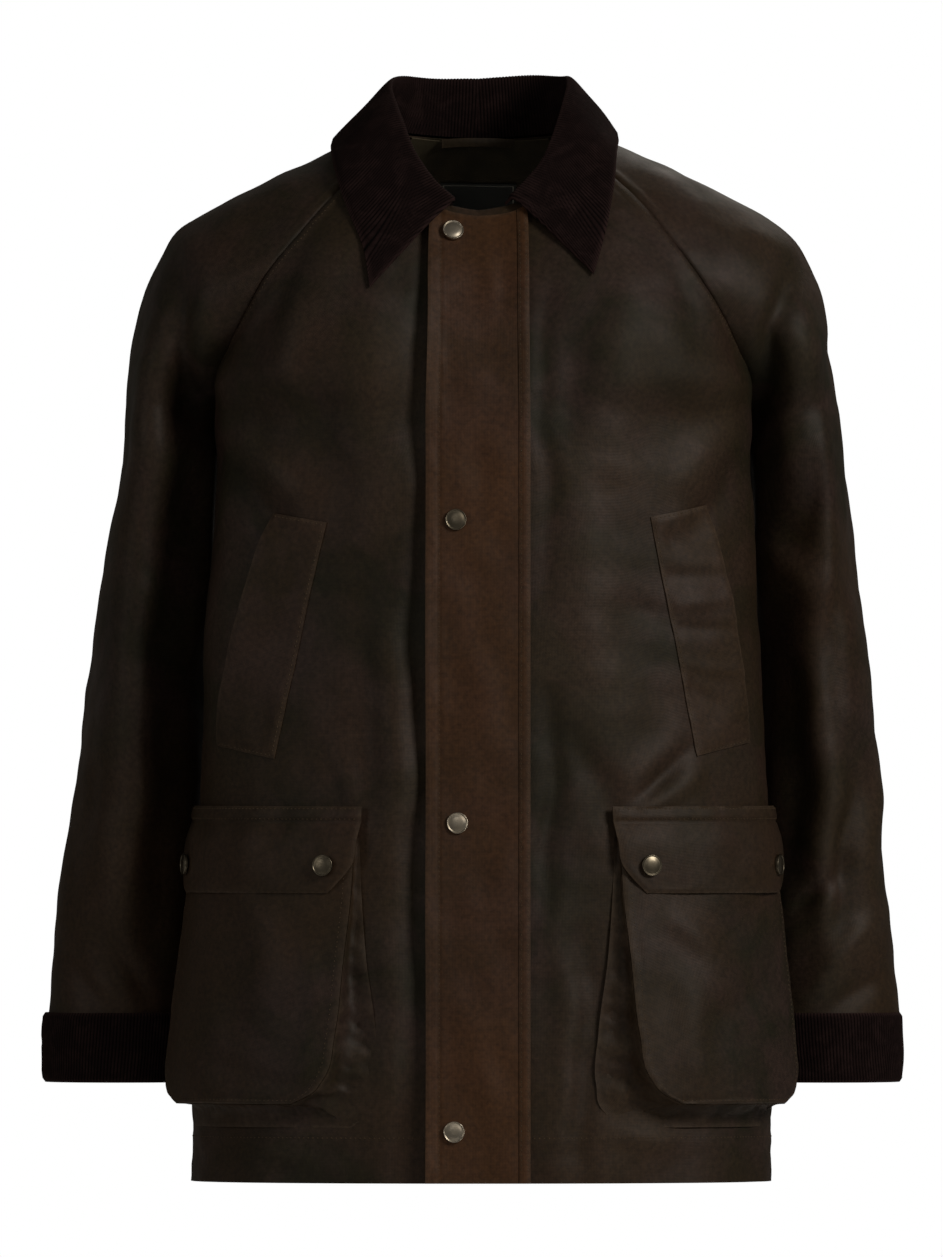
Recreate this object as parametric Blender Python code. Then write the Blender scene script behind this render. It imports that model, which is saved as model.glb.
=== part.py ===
"""A waxed cotton jacket with a corduroy collar and cuffs, filled out as if worn.

Metres, +Z up. The front faces -Y and +X is the wearer's left. The origin is between the shoulders, at the
height of the side of the neck. Each cloth piece is a net of points on the garment's form, given a wall.
"""

import math

import bmesh
import bpy
import numpy as np
from mathutils import Matrix, Vector

# Driving dimensions
HEM = -0.762
UNDERARM = -0.195
NECK = -0.005
CUFF_TOP = -0.6385
CUFF_BOTTOM = -0.690
WALL = 0.0015  # waxed cotton, with its facing where it has one
FLAP_WALL = 0.0020  # two layers of waxed cotton
CORD_WALL = 0.0022  # corduroy, with its backing
LINING_WALL = 0.0010
SEAM_GAP = 0.0003
SEAM_PULL = 0.0002  # how far each piece ends from the middle of its seam
LIFT = 0.0006  # between a panel and what is sewn on it along the same lines
PATCH_LIFT = 0.0019  # the same for a patch whose lines cross the panel's
FLAP_HALF = 0.0380
FLAP_BAND = 0.0085  # width of the stitched band that holds the storm flap
FLAP_BAND_RISE = 0.0006
FLAP_BEND = 0.17  # share of the flap's right half that lies flat before it lifts towards its free edge
FLAP_LIFTS = (0.0030, 0.0004, 0.0, 0.0, 0.0)  # from the flap's free edge to its band
FLAP_TOP = 0.80  # share of the last row that the flap reaches, short of the neck seam
SNAP_RADIUS = 0.00775
SNAP_HEIGHT = 0.0026
SNAP_CLEAR = 0.0005
NECK_END = 0.93  # share of the half neckline that the collar is sewn to
FULLNESS = 0.48  # how squarely the body's rows turn the corner from front to side
NEAR_RISE = 0.10  # share of a row's rise that it has made where it leaves the centre line
FAR_RISE = 0.35  # share of its rise that a row still has to make where it reaches its seam
FOOT_LIFT = 0.0019  # the collar stands on the neck seam, clear of the walls that end there
ROLL = 0.0055  # how roundly the collar turns over its fold
ROLL_SHARE = 0.45  # the same on a low stand, as a share of it
STAND_ROWS = (0, 0.4, 0.75, 1)  # where the collar's net is cut, up the stand and down the fall
FALL_ROWS = (0.16, 0.38, 0.68, 1)
FALL_BELLY = 0.0040
SNAP_SIDES = 16
SNAP_DOME = ((0.13, 0.20), (0.35, 0.22), (0.30, 0.08))  # rim, shoulder and crown: inset and rise

# How finely the nets are cut
BODY_ROWS = 12
YOKE_ROWS = 6
ARM_ROWS = 7
FRONT_COLUMNS = 9
BACK_COLUMNS = 8
SLEEVE_COLUMNS = 8
CUFF_ROWS = 3
COLLAR_COLUMNS = 12
BAG_COLUMNS = 7
WELT_ROWS = 8
WELT_COLUMNS = 4

SIDES = (("right", -1), ("left", 1))

# The front, from its centre line out to the side seam, and above the underarm to the raglan seam.
# level: height of that seam. turn: degrees from sideways that the cloth has turned back at the seam.
FRONT = (
    ("level", "right_x", "left_x", "seam_y", "turn", "centre_y", "centre_z"),
    (-0.762, 0.2020, 0.2070, 0.015, 107, -0.166, -0.762),
    (-0.620, 0.1995, 0.2065, 0.015, 107, -0.164, -0.620),
    (-0.480, 0.1960, 0.2050, 0.015, 107, -0.160, -0.480),
    (-0.340, 0.1885, 0.1985, 0.015, 107, -0.156, -0.340),
    (-0.245, 0.1855, 0.1945, 0.015, 106, -0.153, -0.245),
    (-0.195, 0.1885, 0.1955, 0.015, 104, -0.150, -0.195),
    (-0.171, 0.1930, 0.2000, -0.030, 92, -0.1475, -0.176),
    (-0.148, 0.1840, 0.1910, -0.062, 75, -0.144, -0.158),
    (-0.120, 0.1705, 0.1780, -0.084, 60, -0.139, -0.138),
    (-0.092, 0.1550, 0.1605, -0.093, 45, -0.132, -0.118),
    (-0.066, 0.1340, 0.1410, -0.088, 36, -0.1225, -0.097),
    (-0.036, 0.1075, 0.1160, -0.072, 40, -0.108, -0.074),
    (-0.005, 0.0750, 0.0800, -0.045, 58, -0.088, -0.046),
)
# The back, read the same way from its centre line. Its raglan seam has a height of its own.
BACK = (
    ("level", "right_x", "left_x", "seam_y", "seam_z", "turn", "centre_y", "centre_z"),
    (-0.762, 0.2020, 0.2070, 0.015, -0.762, 73, 0.150, -0.762),
    (-0.620, 0.1995, 0.2065, 0.015, -0.620, 73, 0.146, -0.620),
    (-0.480, 0.1960, 0.2050, 0.015, -0.480, 73, 0.142, -0.480),
    (-0.340, 0.1885, 0.1985, 0.015, -0.340, 73, 0.143, -0.340),
    (-0.245, 0.1855, 0.1945, 0.015, -0.245, 74, 0.146, -0.245),
    (-0.195, 0.1885, 0.1955, 0.015, -0.195, 76, 0.146, -0.195),
    (-0.171, 0.1880, 0.1940, 0.055, -0.172, 88, 0.144, -0.170),
    (-0.148, 0.1800, 0.1870, 0.083, -0.148, 78, 0.141, -0.146),
    (-0.120, 0.1680, 0.1750, 0.101, -0.118, 62, 0.137, -0.118),
    (-0.092, 0.1520, 0.1580, 0.108, -0.088, 46, 0.130, -0.088),
    (-0.066, 0.1300, 0.1360, 0.100, -0.057, 38, 0.117, -0.056),
    (-0.036, 0.0980, 0.1030, 0.076, -0.022, 40, 0.094, -0.022),
    (-0.005, 0.0620, 0.0660, 0.042, 0.012, 55, 0.062, 0.008),
)
# The outer line of each sleeve, from the neck over the shoulder to the cuff. turn is how the cloth leaves
# the raglan seam, and reach is how far it bulges before it comes round to the outer line.
SLEEVE = (
    ("level", "right_x", "left_x", "outer_y", "outer_z", "turn", "reach"),
    (-0.6385, 0.3180, 0.3110, 0.053, -0.6385, -88, 0.077),
    (-0.533, 0.3065, 0.3000, 0.048, -0.533, -84, 0.086),
    (-0.444, 0.2940, 0.2930, 0.044, -0.444, -78, 0.094),
    (-0.355, 0.2825, 0.2850, 0.040, -0.355, -72, 0.101),
    (-0.270, 0.2685, 0.2740, 0.036, -0.270, -66, 0.104),
    (-0.195, 0.2560, 0.2645, 0.031, -0.190, -60, 0.100),
    (-0.171, 0.2515, 0.2590, 0.028, -0.152, -45, 0.080),
    (-0.148, 0.2460, 0.2535, 0.025, -0.118, -30, 0.067),
    (-0.120, 0.2345, 0.2410, 0.020, -0.083, 0, 0.060),
    (-0.092, 0.2120, 0.2170, 0.014, -0.055, 15, 0.055),
    (-0.066, 0.1720, 0.1790, 0.008, -0.033, 25, 0.050),
    (-0.036, 0.1250, 0.1320, 0.002, -0.011, 35, 0.040),
    (-0.005, 0.0820, 0.0875, -0.003, 0.009, 58, 0.018),
)
# The seam on the inner side of each sleeve, below the underarm
INNER = (
    ("level", "right_x", "left_x", "seam_y"),
    (-0.6385, 0.2085, 0.2040, 0.053),
    (-0.533, 0.2060, 0.2045, 0.048),
    (-0.444, 0.2020, 0.2045, 0.044),
    (-0.355, 0.1980, 0.2040, 0.040),
    (-0.270, 0.1945, 0.2030, 0.030),
    (-0.195, 0.1885, 0.1955, 0.015),
)
# The turned-back cuff: it stands a little wider than the sleeve that it is turned over.
CUFF = (
    ("level", "right_x", "left_x", "outer_y", "inner_right", "inner_left", "reach"),
    (-0.6900, 0.3205, 0.3120, 0.057, 0.2115, 0.2055, 0.078),
    (-0.6650, 0.3210, 0.3125, 0.055, 0.2100, 0.2045, 0.079),
    (-0.6385, 0.3205, 0.3120, 0.053, 0.2080, 0.2025, 0.079),
)
# The collar from the centre of the back (along 0) to its front end (along 1): its fold and its outer edge
COLLAR_RIGHT = (
    ("along", "fold_x", "fold_y", "fold_z", "edge_x", "edge_y", "edge_z"),
    (0.00, 0.0000, 0.066, 0.0530, 0.0000, 0.106, -0.004),
    (0.17, 0.0340, 0.060, 0.0545, 0.0500, 0.096, -0.002),
    (0.34, 0.0575, 0.036, 0.0545, 0.0900, 0.062, 0.004),
    (0.50, 0.0650, 0.003, 0.0490, 0.1095, 0.005, 0.005),
    (0.64, 0.0615, -0.028, 0.0340, 0.1080, -0.050, -0.009),
    (0.78, 0.0530, -0.056, 0.0100, 0.0980, -0.092, -0.041),
    (0.90, 0.0380, -0.083, -0.0165, 0.0845, -0.121, -0.074),
    (1.00, 0.0180, -0.101, -0.0380, 0.0800, -0.138, -0.1015),
)
COLLAR_LEFT = (
    ("along", "fold_x", "fold_y", "fold_z", "edge_x", "edge_y", "edge_z"),
    (0.00, 0.0000, 0.066, 0.0530, 0.0000, 0.106, -0.004),
    (0.17, 0.0350, 0.060, 0.0550, 0.0500, 0.096, -0.002),
    (0.34, 0.0600, 0.036, 0.0555, 0.0900, 0.062, 0.004),
    (0.50, 0.0680, 0.003, 0.0510, 0.1040, 0.005, 0.010),
    (0.64, 0.0630, -0.028, 0.0350, 0.1030, -0.050, -0.003),
    (0.78, 0.0550, -0.056, 0.0080, 0.0995, -0.088, -0.033),
    (0.90, 0.0430, -0.080, -0.0150, 0.0935, -0.115, -0.062),
    (1.00, 0.0255, -0.098, -0.0360, 0.0850, -0.135, -0.092),
)
# The hand pockets: slanted patches, open along their outer side. Corners as the front is seen.
WELTS = (
    ("side", "top_inner_x", "top_inner_z", "top_outer_x", "top_outer_z",
     "low_inner_x", "low_inner_z", "low_outer_x", "low_outer_z"),
    ("right", 0.1120, -0.276, 0.1515, -0.269, 0.1495, -0.450, 0.1880, -0.441),
    ("left", 0.1260, -0.272, 0.1690, -0.263, 0.1600, -0.448, 0.1980, -0.438),
)
WELT_MOUTH = 0.0045  # how far a hand pocket's outer edge stands open
# The large pockets, measured along the cloth from the centre front. stand: how far the bag's front is
# from the jacket. foot: where the gusset is sewn to the jacket.
BAG = (
    ("height", "inner", "outer", "stand", "foot_height", "foot_inner", "foot_outer"),
    (-0.704, 0.1450, 0.235, 0.0205, -0.7205, 0.1060, 0.255),
    (-0.697, 0.1310, 0.248, 0.0215, -0.7080, 0.0915, 0.268),
    (-0.685, 0.1210, 0.257, 0.0215, -0.6900, 0.0870, 0.274),
    (-0.653, 0.1140, 0.262, 0.0185, -0.6530, 0.0885, 0.274),
    (-0.600, 0.1095, 0.263, 0.0130, -0.6000, 0.0955, 0.272),
    (-0.546, 0.1050, 0.264, 0.0070, -0.5480, 0.0995, 0.270),
    (-0.508, 0.1040, 0.264, 0.0030, -0.5080, 0.1010, 0.268),
)
POCKET_FLAP = (
    ("height", "inner", "outer", "stand"),
    (-0.5490, 0.1220, 0.250, 0.0100),
    (-0.5430, 0.1160, 0.258, 0.0100),
    (-0.5290, 0.1045, 0.268, 0.0098),
    (-0.5100, 0.1010, 0.270, 0.0082),
    (-0.4940, 0.0985, 0.270, 0.0036),
    (-0.4850, 0.0980, 0.270, PATCH_LIFT),
)
POCKET_SHIFT = {"right": -0.013, "left": 0.0}  # the right pocket is sewn nearer the centre front
FRONT_SNAPS = ((-0.0190, -0.065), (-0.0165, -0.274), (-0.0155, -0.497), (-0.0180, -0.724))
POCKET_SNAP_INSET = 0.026
POCKET_SNAP_HEIGHT = -0.5285
POCKET_SNAP_ROW = 2  # the flap's row that stands off as its snaps do
LABEL_HALF = 0.028
LABEL_WALL = 0.0008
LABEL_ROWS = (1.4, 2.7)  # which rows of the back's net the label hangs over, counted down from the neck
LINING_ROWS = 5
LOOP_HALF = 0.027
LOOP_HEIGHT = 0.006
LOOP_STAND = 0.0035
LOOP_DROP = 0.0010
LOOP_WALL = 0.0012
NECK_SPAN = 4  # columns of the back's net on each side of its centre that the neck pieces lie over
FINE = 61  # points on a row before it is cut into columns

MATERIALS = {
    "waxed_cotton": ((0.027, 0.021, 0.016), 0.55, 0.0),
    "waxed_cotton_flap": ((0.034, 0.020, 0.012), 0.55, 0.0),
    "corduroy": ((0.010, 0.006, 0.006), 0.90, 0.0),
    "lining": ((0.012, 0.010, 0.007), 0.80, 0.0),
    "label_satin": ((0.005, 0.006, 0.005), 0.45, 0.0),
    "snap_nickel": ((0.30, 0.27, 0.23), 0.35, 1.0),
}


def clear_scene():
    for thing in list(bpy.data.objects):
        bpy.data.objects.remove(thing, do_unlink=True)


def read(table, name, at):
    """One column of a table at a place between its rows, on a smooth curve through them."""
    keys = [row[0] for row in table[1:]]
    column = table[0].index(name)
    values = [row[column] for row in table[1:]]
    last = len(keys) - 1
    rises = [(values[i + 1] - values[i]) / (keys[i + 1] - keys[i]) for i in range(last)]
    slopes = [rises[0]]
    for i in range(1, last):
        below = keys[i] - keys[i - 1]
        above = keys[i + 1] - keys[i]
        slopes.append((rises[i - 1] * above + rises[i] * below) / (below + above))
    slopes.append(rises[-1])
    i = min(max(sum(1 for key in keys if key <= at) - 1, 0), last - 1)
    step = keys[i + 1] - keys[i]
    t = min(max((at - keys[i]) / step, 0.0), 1.0)
    start = (2 * t**3 - 3 * t**2 + 1) * values[i] + (t**3 - 2 * t**2 + t) * step * slopes[i]
    end = (3 * t**2 - 2 * t**3) * values[i + 1] + (t**3 - t**2) * step * slopes[i + 1]
    return start + end


def bezier(corners, share):
    """Points of a cubic curve at an array of shares from 0 to 1."""
    share = np.asarray(share, dtype=float)[:, None]
    first, second, third, fourth = (np.asarray(corner, dtype=float) for corner in corners)
    rest = 1 - share
    return rest**3 * first + 3 * rest**2 * share * second + 3 * rest * share**2 * third + share**3 * fourth


def evenly(points, places):
    """Points along a line at the given shares of its length."""
    lengths = np.concatenate(([0.0], np.cumsum(np.linalg.norm(np.diff(points, axis=0), axis=1))))
    wanted = np.asarray(places) * lengths[-1]
    return np.column_stack([np.interp(wanted, lengths, points[:, axis]) for axis in range(3)])


def seam(table, side, level):
    """The side or raglan seam's point on a front or back row."""
    name, sign = side
    height = read(table, "seam_z", level) if "seam_z" in table[0] else level
    return np.array([sign * read(table, name + "_x", level), read(table, "seam_y", level), height])


def body_row(table, side, level):
    """A fine line of points along one row of the front or the back, from its centre line to its seam."""
    sign = side[1]
    face = -1 if table is FRONT else 1
    centre = np.array([0.0, read(table, "centre_y", level), read(table, "centre_z", level)])
    end = seam(table, side, level)
    reach = FULLNESS * np.linalg.norm(end - centre)
    turn = math.radians(read(table, "turn", level))
    heading = np.array([sign * math.cos(turn), -face * math.sin(turn), 0.0])
    rise = np.array([0.0, 0.0, end[2] - centre[2]])
    near = centre + np.array([sign * reach, 0.0, 0.0]) + NEAR_RISE * rise
    far = end - reach * heading - FAR_RISE * rise
    return bezier((centre, near, far, end), spread(FINE))


def sleeve_row(side, level):
    """A fine line round one row of a sleeve: seam, front, outer line, back, seam."""
    name, sign = side
    outer = np.array([sign * read(SLEEVE, name + "_x", level), read(SLEEVE, "outer_y", level),
                      read(SLEEVE, "outer_z", level)])
    if level >= UNDERARM:
        starts = (seam(FRONT, side, level), seam(BACK, side, level))
    else:
        inner = np.array([sign * read(INNER, name + "_x", level), read(INNER, "seam_y", level), level])
        starts = (inner, inner)
    reach = read(SLEEVE, "reach", level)
    turn = math.radians(read(SLEEVE, "turn", level))
    halves = []
    for start, face in zip(starts, (-1, 1)):
        leave = start + reach * np.array([sign * math.cos(turn), -face * math.sin(turn), 0.0])
        arrive = outer + np.array([0.0, face * reach, 0.0])
        leave[2] += FAR_RISE * (outer[2] - start[2])
        halves.append(bezier((start, leave, arrive, outer), spread(FINE)))
    return halves[0], halves[1][::-1]


def spread(count):
    return np.linspace(0, 1, count + 1)


def front_net(side):
    """The front's first columns are its centre line and the storm flap's edge, and the rest are even."""
    rows = []
    for level in body_levels():
        line = body_row(FRONT, side, level)
        at_flap = int(np.argmin(np.abs(np.abs(line[:, 0]) - FLAP_HALF)))
        rest = evenly(line[at_flap:], spread(FRONT_COLUMNS - 1))
        rows.append(np.vstack([line[:1], rest]))
    return np.array(rows)


def back_net():
    rows = []
    for level in body_levels():
        right, left = (evenly(body_row(BACK, side, level), spread(BACK_COLUMNS)) for side in SIDES)
        rows.append(np.vstack([right[::-1], left[1:]]))
    return np.array(rows)


def sleeve_net(side):
    rows = []
    for level in sleeve_levels():
        front, back = (evenly(half, spread(SLEEVE_COLUMNS)) for half in sleeve_row(side, level))
        rows.append(np.vstack([front, back[1:]]))
    return np.array(rows)


def body_levels():
    body = np.linspace(HEM, UNDERARM, BODY_ROWS + 1)
    yoke = np.linspace(UNDERARM, NECK, YOKE_ROWS + 1)
    return np.concatenate((body, yoke[1:]))


def sleeve_levels():
    arm = np.linspace(CUFF_TOP, UNDERARM, ARM_ROWS + 1)
    yoke = np.linspace(UNDERARM, NECK, YOKE_ROWS + 1)
    return np.concatenate((arm, yoke[1:]))


def cuff_net(side):
    name, sign = side
    rows = []
    for level in np.linspace(CUFF_BOTTOM, CUFF_TOP - SEAM_GAP, CUFF_ROWS + 1):
        y = read(CUFF, "outer_y", level)
        outer = np.array([sign * read(CUFF, name + "_x", level), y, level])
        inner = np.array([sign * read(CUFF, "inner_" + name, level), y, level])
        reach = np.array([0.0, read(CUFF, "reach", level), 0.0])
        front = bezier((inner, inner - reach, outer - reach, outer), spread(FINE))
        back = bezier((outer, outer + reach, inner + reach, inner), spread(FINE))
        front, back = (evenly(half, spread(SLEEVE_COLUMNS)) for half in (front, back))
        rows.append(np.vstack([front, back[1:]]))
    return np.array(rows)


def face_normals(net, sign):
    across = net[:-1, 1:] - net[1:, :-1]
    up = net[1:, 1:] - net[:-1, :-1]
    normals = np.cross(across, up) * sign
    return normals / np.linalg.norm(normals, axis=2, keepdims=True)


def key_of(point):
    return tuple(round(float(value), 5) for value in point)


def shared_normals(nets):
    """Outward directions at each net's points. Points that two nets share get one direction."""
    sums = {}
    for net, sign in nets:
        faces = face_normals(net, sign)
        for row in range(net.shape[0]):
            for column in range(net.shape[1]):
                near = faces[max(row - 1, 0):row + 1, max(column - 1, 0):column + 1].reshape(-1, 3)
                key = key_of(net[row, column])
                sums[key] = sums.get(key, np.zeros(3)) + near.sum(axis=0)
    for side in SIDES:
        sums[key_of(seam(FRONT, side, UNDERARM))] = np.array([0.0, 0.0, -1.0])
    found = []
    for net, _ in nets:
        directions = np.array([[sums[key_of(point)] for point in row] for row in net])
        found.append(directions / np.linalg.norm(directions, axis=2, keepdims=True))
    return found


def pulled_in(net, pull=SEAM_PULL):
    """The net with its outer points moved in, so that pieces sewn together stay clear of each other."""
    net = net.copy()
    for edge, inside in ((0, 1), (-1, -2)):
        step = net[inside] - net[edge]
        net[edge] += pull * step / np.linalg.norm(step, axis=1, keepdims=True)
    for edge, inside in ((0, 1), (-1, -2)):
        step = net[:, inside] - net[:, edge]
        net[:, edge] += pull * step / np.linalg.norm(step, axis=1, keepdims=True)
    return net


def material(name):
    found = bpy.data.materials.get(name)
    if found:
        return found
    colour, roughness, metallic = MATERIALS[name]
    found = bpy.data.materials.new(name)
    found.use_nodes = True
    shader = found.node_tree.nodes["Principled BSDF"]
    shader.inputs["Base Color"].default_value = (*colour, 1.0)
    shader.inputs["Roughness"].default_value = roughness
    shader.inputs["Metallic"].default_value = metallic
    return found


def finish(name, bm, material_name, smooth=40):
    bmesh.ops.recalc_face_normals(bm, faces=bm.faces[:])
    mesh = bpy.data.meshes.new(name)
    bm.to_mesh(mesh)
    bm.free()
    mesh.materials.append(material(material_name))
    mesh.shade_smooth()
    mesh.set_sharp_from_angle(angle=math.radians(smooth))
    thing = bpy.data.objects.new(name, mesh)
    bpy.context.scene.collection.objects.link(thing)
    return thing


def cloth(name, net, normals, lift, wall, material_name):
    """A net of points given a wall. lift moves it out from its points and wall is its thickness."""
    bm = bmesh.new()
    layers = []
    for out in (lift, lift + wall):
        points = net + normals * np.asarray(out)[..., None]
        layers.append([[bm.verts.new(point) for point in row] for row in points])
    inside, outside = layers
    rows, columns = net.shape[:2]
    for i in reversed(range(rows - 1)):
        for j in range(columns - 1):
            corners = ((i, j), (i, j + 1), (i + 1, j + 1), (i + 1, j))
            bm.faces.new([outside[a][b] for a, b in corners])
            bm.faces.new([inside[a][b] for a, b in reversed(corners)])
    rim = [(0, j) for j in range(columns)]
    rim += [(i, columns - 1) for i in range(1, rows)]
    rim += [(rows - 1, j) for j in range(columns - 2, -1, -1)]
    rim += [(i, 0) for i in range(rows - 2, 0, -1)]
    for (a, b), (c, d) in zip(rim, rim[1:] + rim[:1]):
        # both pieces of a seam split their edges the same way, so that twisted edges stay clear
        if c >= a:
            bm.faces.new((inside[a][b], inside[c][d], outside[c][d]))
            bm.faces.new((inside[a][b], outside[c][d], outside[a][b]))
        else:
            bm.faces.new((inside[a][b], inside[c][d], outside[a][b]))
            bm.faces.new((inside[c][d], outside[c][d], outside[a][b]))
    return finish(name, bm, material_name)


def on_panel(panel, across, height):
    """The point of a front panel at a distance along the cloth from its centre, and its direction out."""
    net, normals = panel
    levels = net[:BODY_ROWS + 1, 0, 2]
    i = int(np.clip(np.searchsorted(levels, height) - 1, 0, BODY_ROWS - 1))
    share = (height - levels[i]) / (levels[i + 1] - levels[i])
    found = []
    for row in (i, i + 1):
        line = net[row]
        lengths = np.concatenate(([0.0], np.cumsum(np.linalg.norm(np.diff(line, axis=0), axis=1))))
        found.append([[np.interp(across, lengths, values[row][:, axis]) for axis in range(3)]
                      for values in (net, normals)])
    low, high = np.array(found)
    point, out = (1 - share) * low + share * high
    return point, out / np.linalg.norm(out)


def along_cloth(panel, x, height):
    """How far along the cloth from the centre front the panel reaches a given x."""
    net = panel[0]
    levels = net[:BODY_ROWS + 1, 0, 2]
    i = int(np.clip(np.searchsorted(levels, height) - 1, 0, BODY_ROWS - 1))
    share = (height - levels[i]) / (levels[i + 1] - levels[i])
    line = (1 - share) * net[i] + share * net[i + 1]
    lengths = np.concatenate(([0.0], np.cumsum(np.linalg.norm(np.diff(line, axis=0), axis=1))))
    widest = int(np.argmax(np.abs(line[:, 0])))
    return float(np.interp(x, np.abs(line[:widest + 1, 0]), lengths[:widest + 1]))


def panel_net(panel, places):
    """A net and its directions from rows of (across, height) places on a front panel."""
    found = [[on_panel(panel, across, height) for across, height in row] for row in places]
    return np.array([[point for point, _ in row] for row in found]), np.array(
        [[out for _, out in row] for row in found])


def snap(name, point, out):
    """A domed metal snap cap with a rolled rim, standing on the cloth."""
    bm = bmesh.new()
    bmesh.ops.create_cone(bm, cap_ends=True, segments=SNAP_SIDES, radius1=SNAP_RADIUS, radius2=SNAP_RADIUS,
                          depth=SNAP_HEIGHT * 0.5, matrix=Matrix.Translation((0, 0, SNAP_HEIGHT * 0.25)))
    top = [face for face in bm.faces if face.normal.z > 0.9]
    for share, rise in SNAP_DOME:
        bmesh.ops.inset_region(bm, faces=top, thickness=share * SNAP_RADIUS, depth=rise * SNAP_HEIGHT)
    turn = Vector((0, 0, 1)).rotation_difference(Vector(out)).to_matrix().to_4x4()
    bmesh.ops.transform(bm, matrix=Matrix.Translation(Vector(point)) @ turn, verts=bm.verts[:])
    return finish(name, bm, "snap_nickel", smooth=30)


def make_body():
    """Fronts, back and sleeves share their seam points, so their walls meet along the seams."""
    nets = [(front_net(side), side[1]) for side in SIDES]
    nets.append((back_net(), -1))
    nets += [(sleeve_net(side), side[1]) for side in SIDES]
    normals = shared_normals(nets)
    names = ("front_right", "front_left", "back", "sleeve_right", "sleeve_left")
    body = {}
    for name, (net, _), out in zip(names, nets, normals):
        pull = 2 * SEAM_PULL if name.startswith("sleeve") else SEAM_PULL
        cloth(name, pulled_in(net, pull), out, 0.0, WALL, "waxed_cotton")
        body[name] = (net, out)
    return body


def make_cuffs():
    for side in SIDES:
        net = cuff_net(side)
        normals = shared_normals([(net, side[1])])[0]
        cloth("cuff_" + side[0], pulled_in(net), normals, 0.0, CORD_WALL, "corduroy")


def neckline(side):
    """Half of the neck seam, from the centre of the back to the centre front."""
    back = body_row(BACK, side, NECK)
    front, rear = sleeve_row(side, NECK)
    chest = body_row(FRONT, side, NECK)
    return np.vstack([back, rear[::-1], front[::-1], chest[::-1]])


def collar_column(side, along):
    """The collar's section: up the stand from the neck seam, over the fold and down to the outer edge."""
    table = COLLAR_RIGHT if side[0] == "right" else COLLAR_LEFT
    mirror = np.array([side[1], 1, 1])
    foot = evenly(neckline(side), [along * NECK_END])[0]
    foot[2] += FOOT_LIFT * (1 + along)
    fold = mirror * [read(table, "fold_" + axis, along) for axis in "xyz"]
    edge = mirror * [read(table, "edge_" + axis, along) for axis in "xyz"]
    leaf = edge - fold
    outward = leaf * (1, 1, 0.25)
    outward = outward / np.linalg.norm(outward)
    rise = fold - foot
    roll = min(ROLL, ROLL_SHARE * np.linalg.norm(rise))
    stand = (foot, foot + rise / 2, fold - roll * outward, fold)
    fall = (fold, fold + roll * outward, edge - leaf / 2 + FALL_BELLY * outward, edge)
    return np.vstack([bezier(stand, STAND_ROWS), bezier(fall, FALL_ROWS)])


def make_collar():
    columns = [collar_column(SIDES[0], 1 - place) for place in spread(COLLAR_COLUMNS)]
    columns += [collar_column(SIDES[1], place) for place in spread(COLLAR_COLUMNS)[1:]]
    net = np.array(columns).transpose(1, 0, 2)
    normals = shared_normals([(net, 1)])[0]
    cloth("collar", net, -normals, 0.0, CORD_WALL, "corduroy")


def make_storm_flap(body):
    """The flap over the front opening: sewn on down its left edge by a narrow band, free on its right."""
    columns = []
    for net_right, net_left in zip(body["front_right"], body["front_left"]):
        half = (net_left[:, 0] + net_left[:, 1]) / 2
        band = net_left[:, 1] + (net_left[:, 0] - net_left[:, 1]) * FLAP_BAND / FLAP_HALF
        near = net_right[:, 0] + (net_right[:, 1] - net_right[:, 0]) * FLAP_BEND
        column = np.stack((net_right[:, 1], near, net_left[:, 0], half, band, net_left[:, 1]), axis=1)
        column[-1] = FLAP_TOP * column[-1] + (1 - FLAP_TOP) * column[-2]
        columns.append(column)
    points, outs = columns
    outs = outs / np.linalg.norm(outs, axis=2, keepdims=True)
    lift = np.broadcast_to(WALL + LIFT + np.array(FLAP_LIFTS), points[:, :5].shape[:2])
    cloth("storm_flap", pulled_in(points[:, :5]), outs[:, :5], lift, FLAP_WALL, "waxed_cotton_flap")
    cloth("flap_band", pulled_in(points[:, 4:]), outs[:, 4:], WALL + LIFT, FLAP_WALL + FLAP_BAND_RISE,
          "waxed_cotton_flap")
    top = points[:, :2] + outs[:, :2] * (lift[:, :2] + FLAP_WALL)[..., None]
    for number, (x, height) in enumerate(FRONT_SNAPS, 1):
        row = int(np.searchsorted(top[:, 0, 2], height))
        corners = top[row - 1:row + 1]
        up = (height - corners[0, 1, 2]) / (corners[1, 1, 2] - corners[0, 1, 2])
        ends = (1 - up) * corners[0] + up * corners[1]
        aside = (x - ends[0, 0]) / (ends[1, 0] - ends[0, 0])
        point = (1 - aside) * ends[0] + aside * ends[1]
        out = np.cross(ends[1] - ends[0], corners[1, 0] - corners[0, 0])
        out = out / np.linalg.norm(out)
        snap("snap_front_%d" % number, point + SNAP_CLEAR * out, out)


def make_welts(body):
    for row in WELTS[1:]:
        name = row[0]
        panel = body["front_" + name]
        corner = dict(zip(WELTS[0][1:], row[1:]))
        places = []
        for down in spread(WELT_ROWS)[::-1]:
            ends = []
            for edge in ("inner", "outer"):
                top, low = (np.array([corner["%s_%s_%s" % (end, edge, axis)] for axis in "xz"])
                            for end in ("top", "low"))
                ends.append((1 - down) * top + down * low)
            line = [(1 - out) * ends[0] + out * ends[1] for out in spread(WELT_COLUMNS)]
            places.append([(along_cloth(panel, x, height), height) for x, height in line])
        net, outs = panel_net(panel, places)
        belly = np.sin(np.pi * spread(WELT_ROWS))[:, None]
        lift = WALL + PATCH_LIFT + belly * WELT_MOUTH * spread(WELT_COLUMNS)[None, :] ** 2
        cloth("hand_pocket_" + name, net, outs, lift, WALL, "waxed_cotton_flap")


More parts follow.
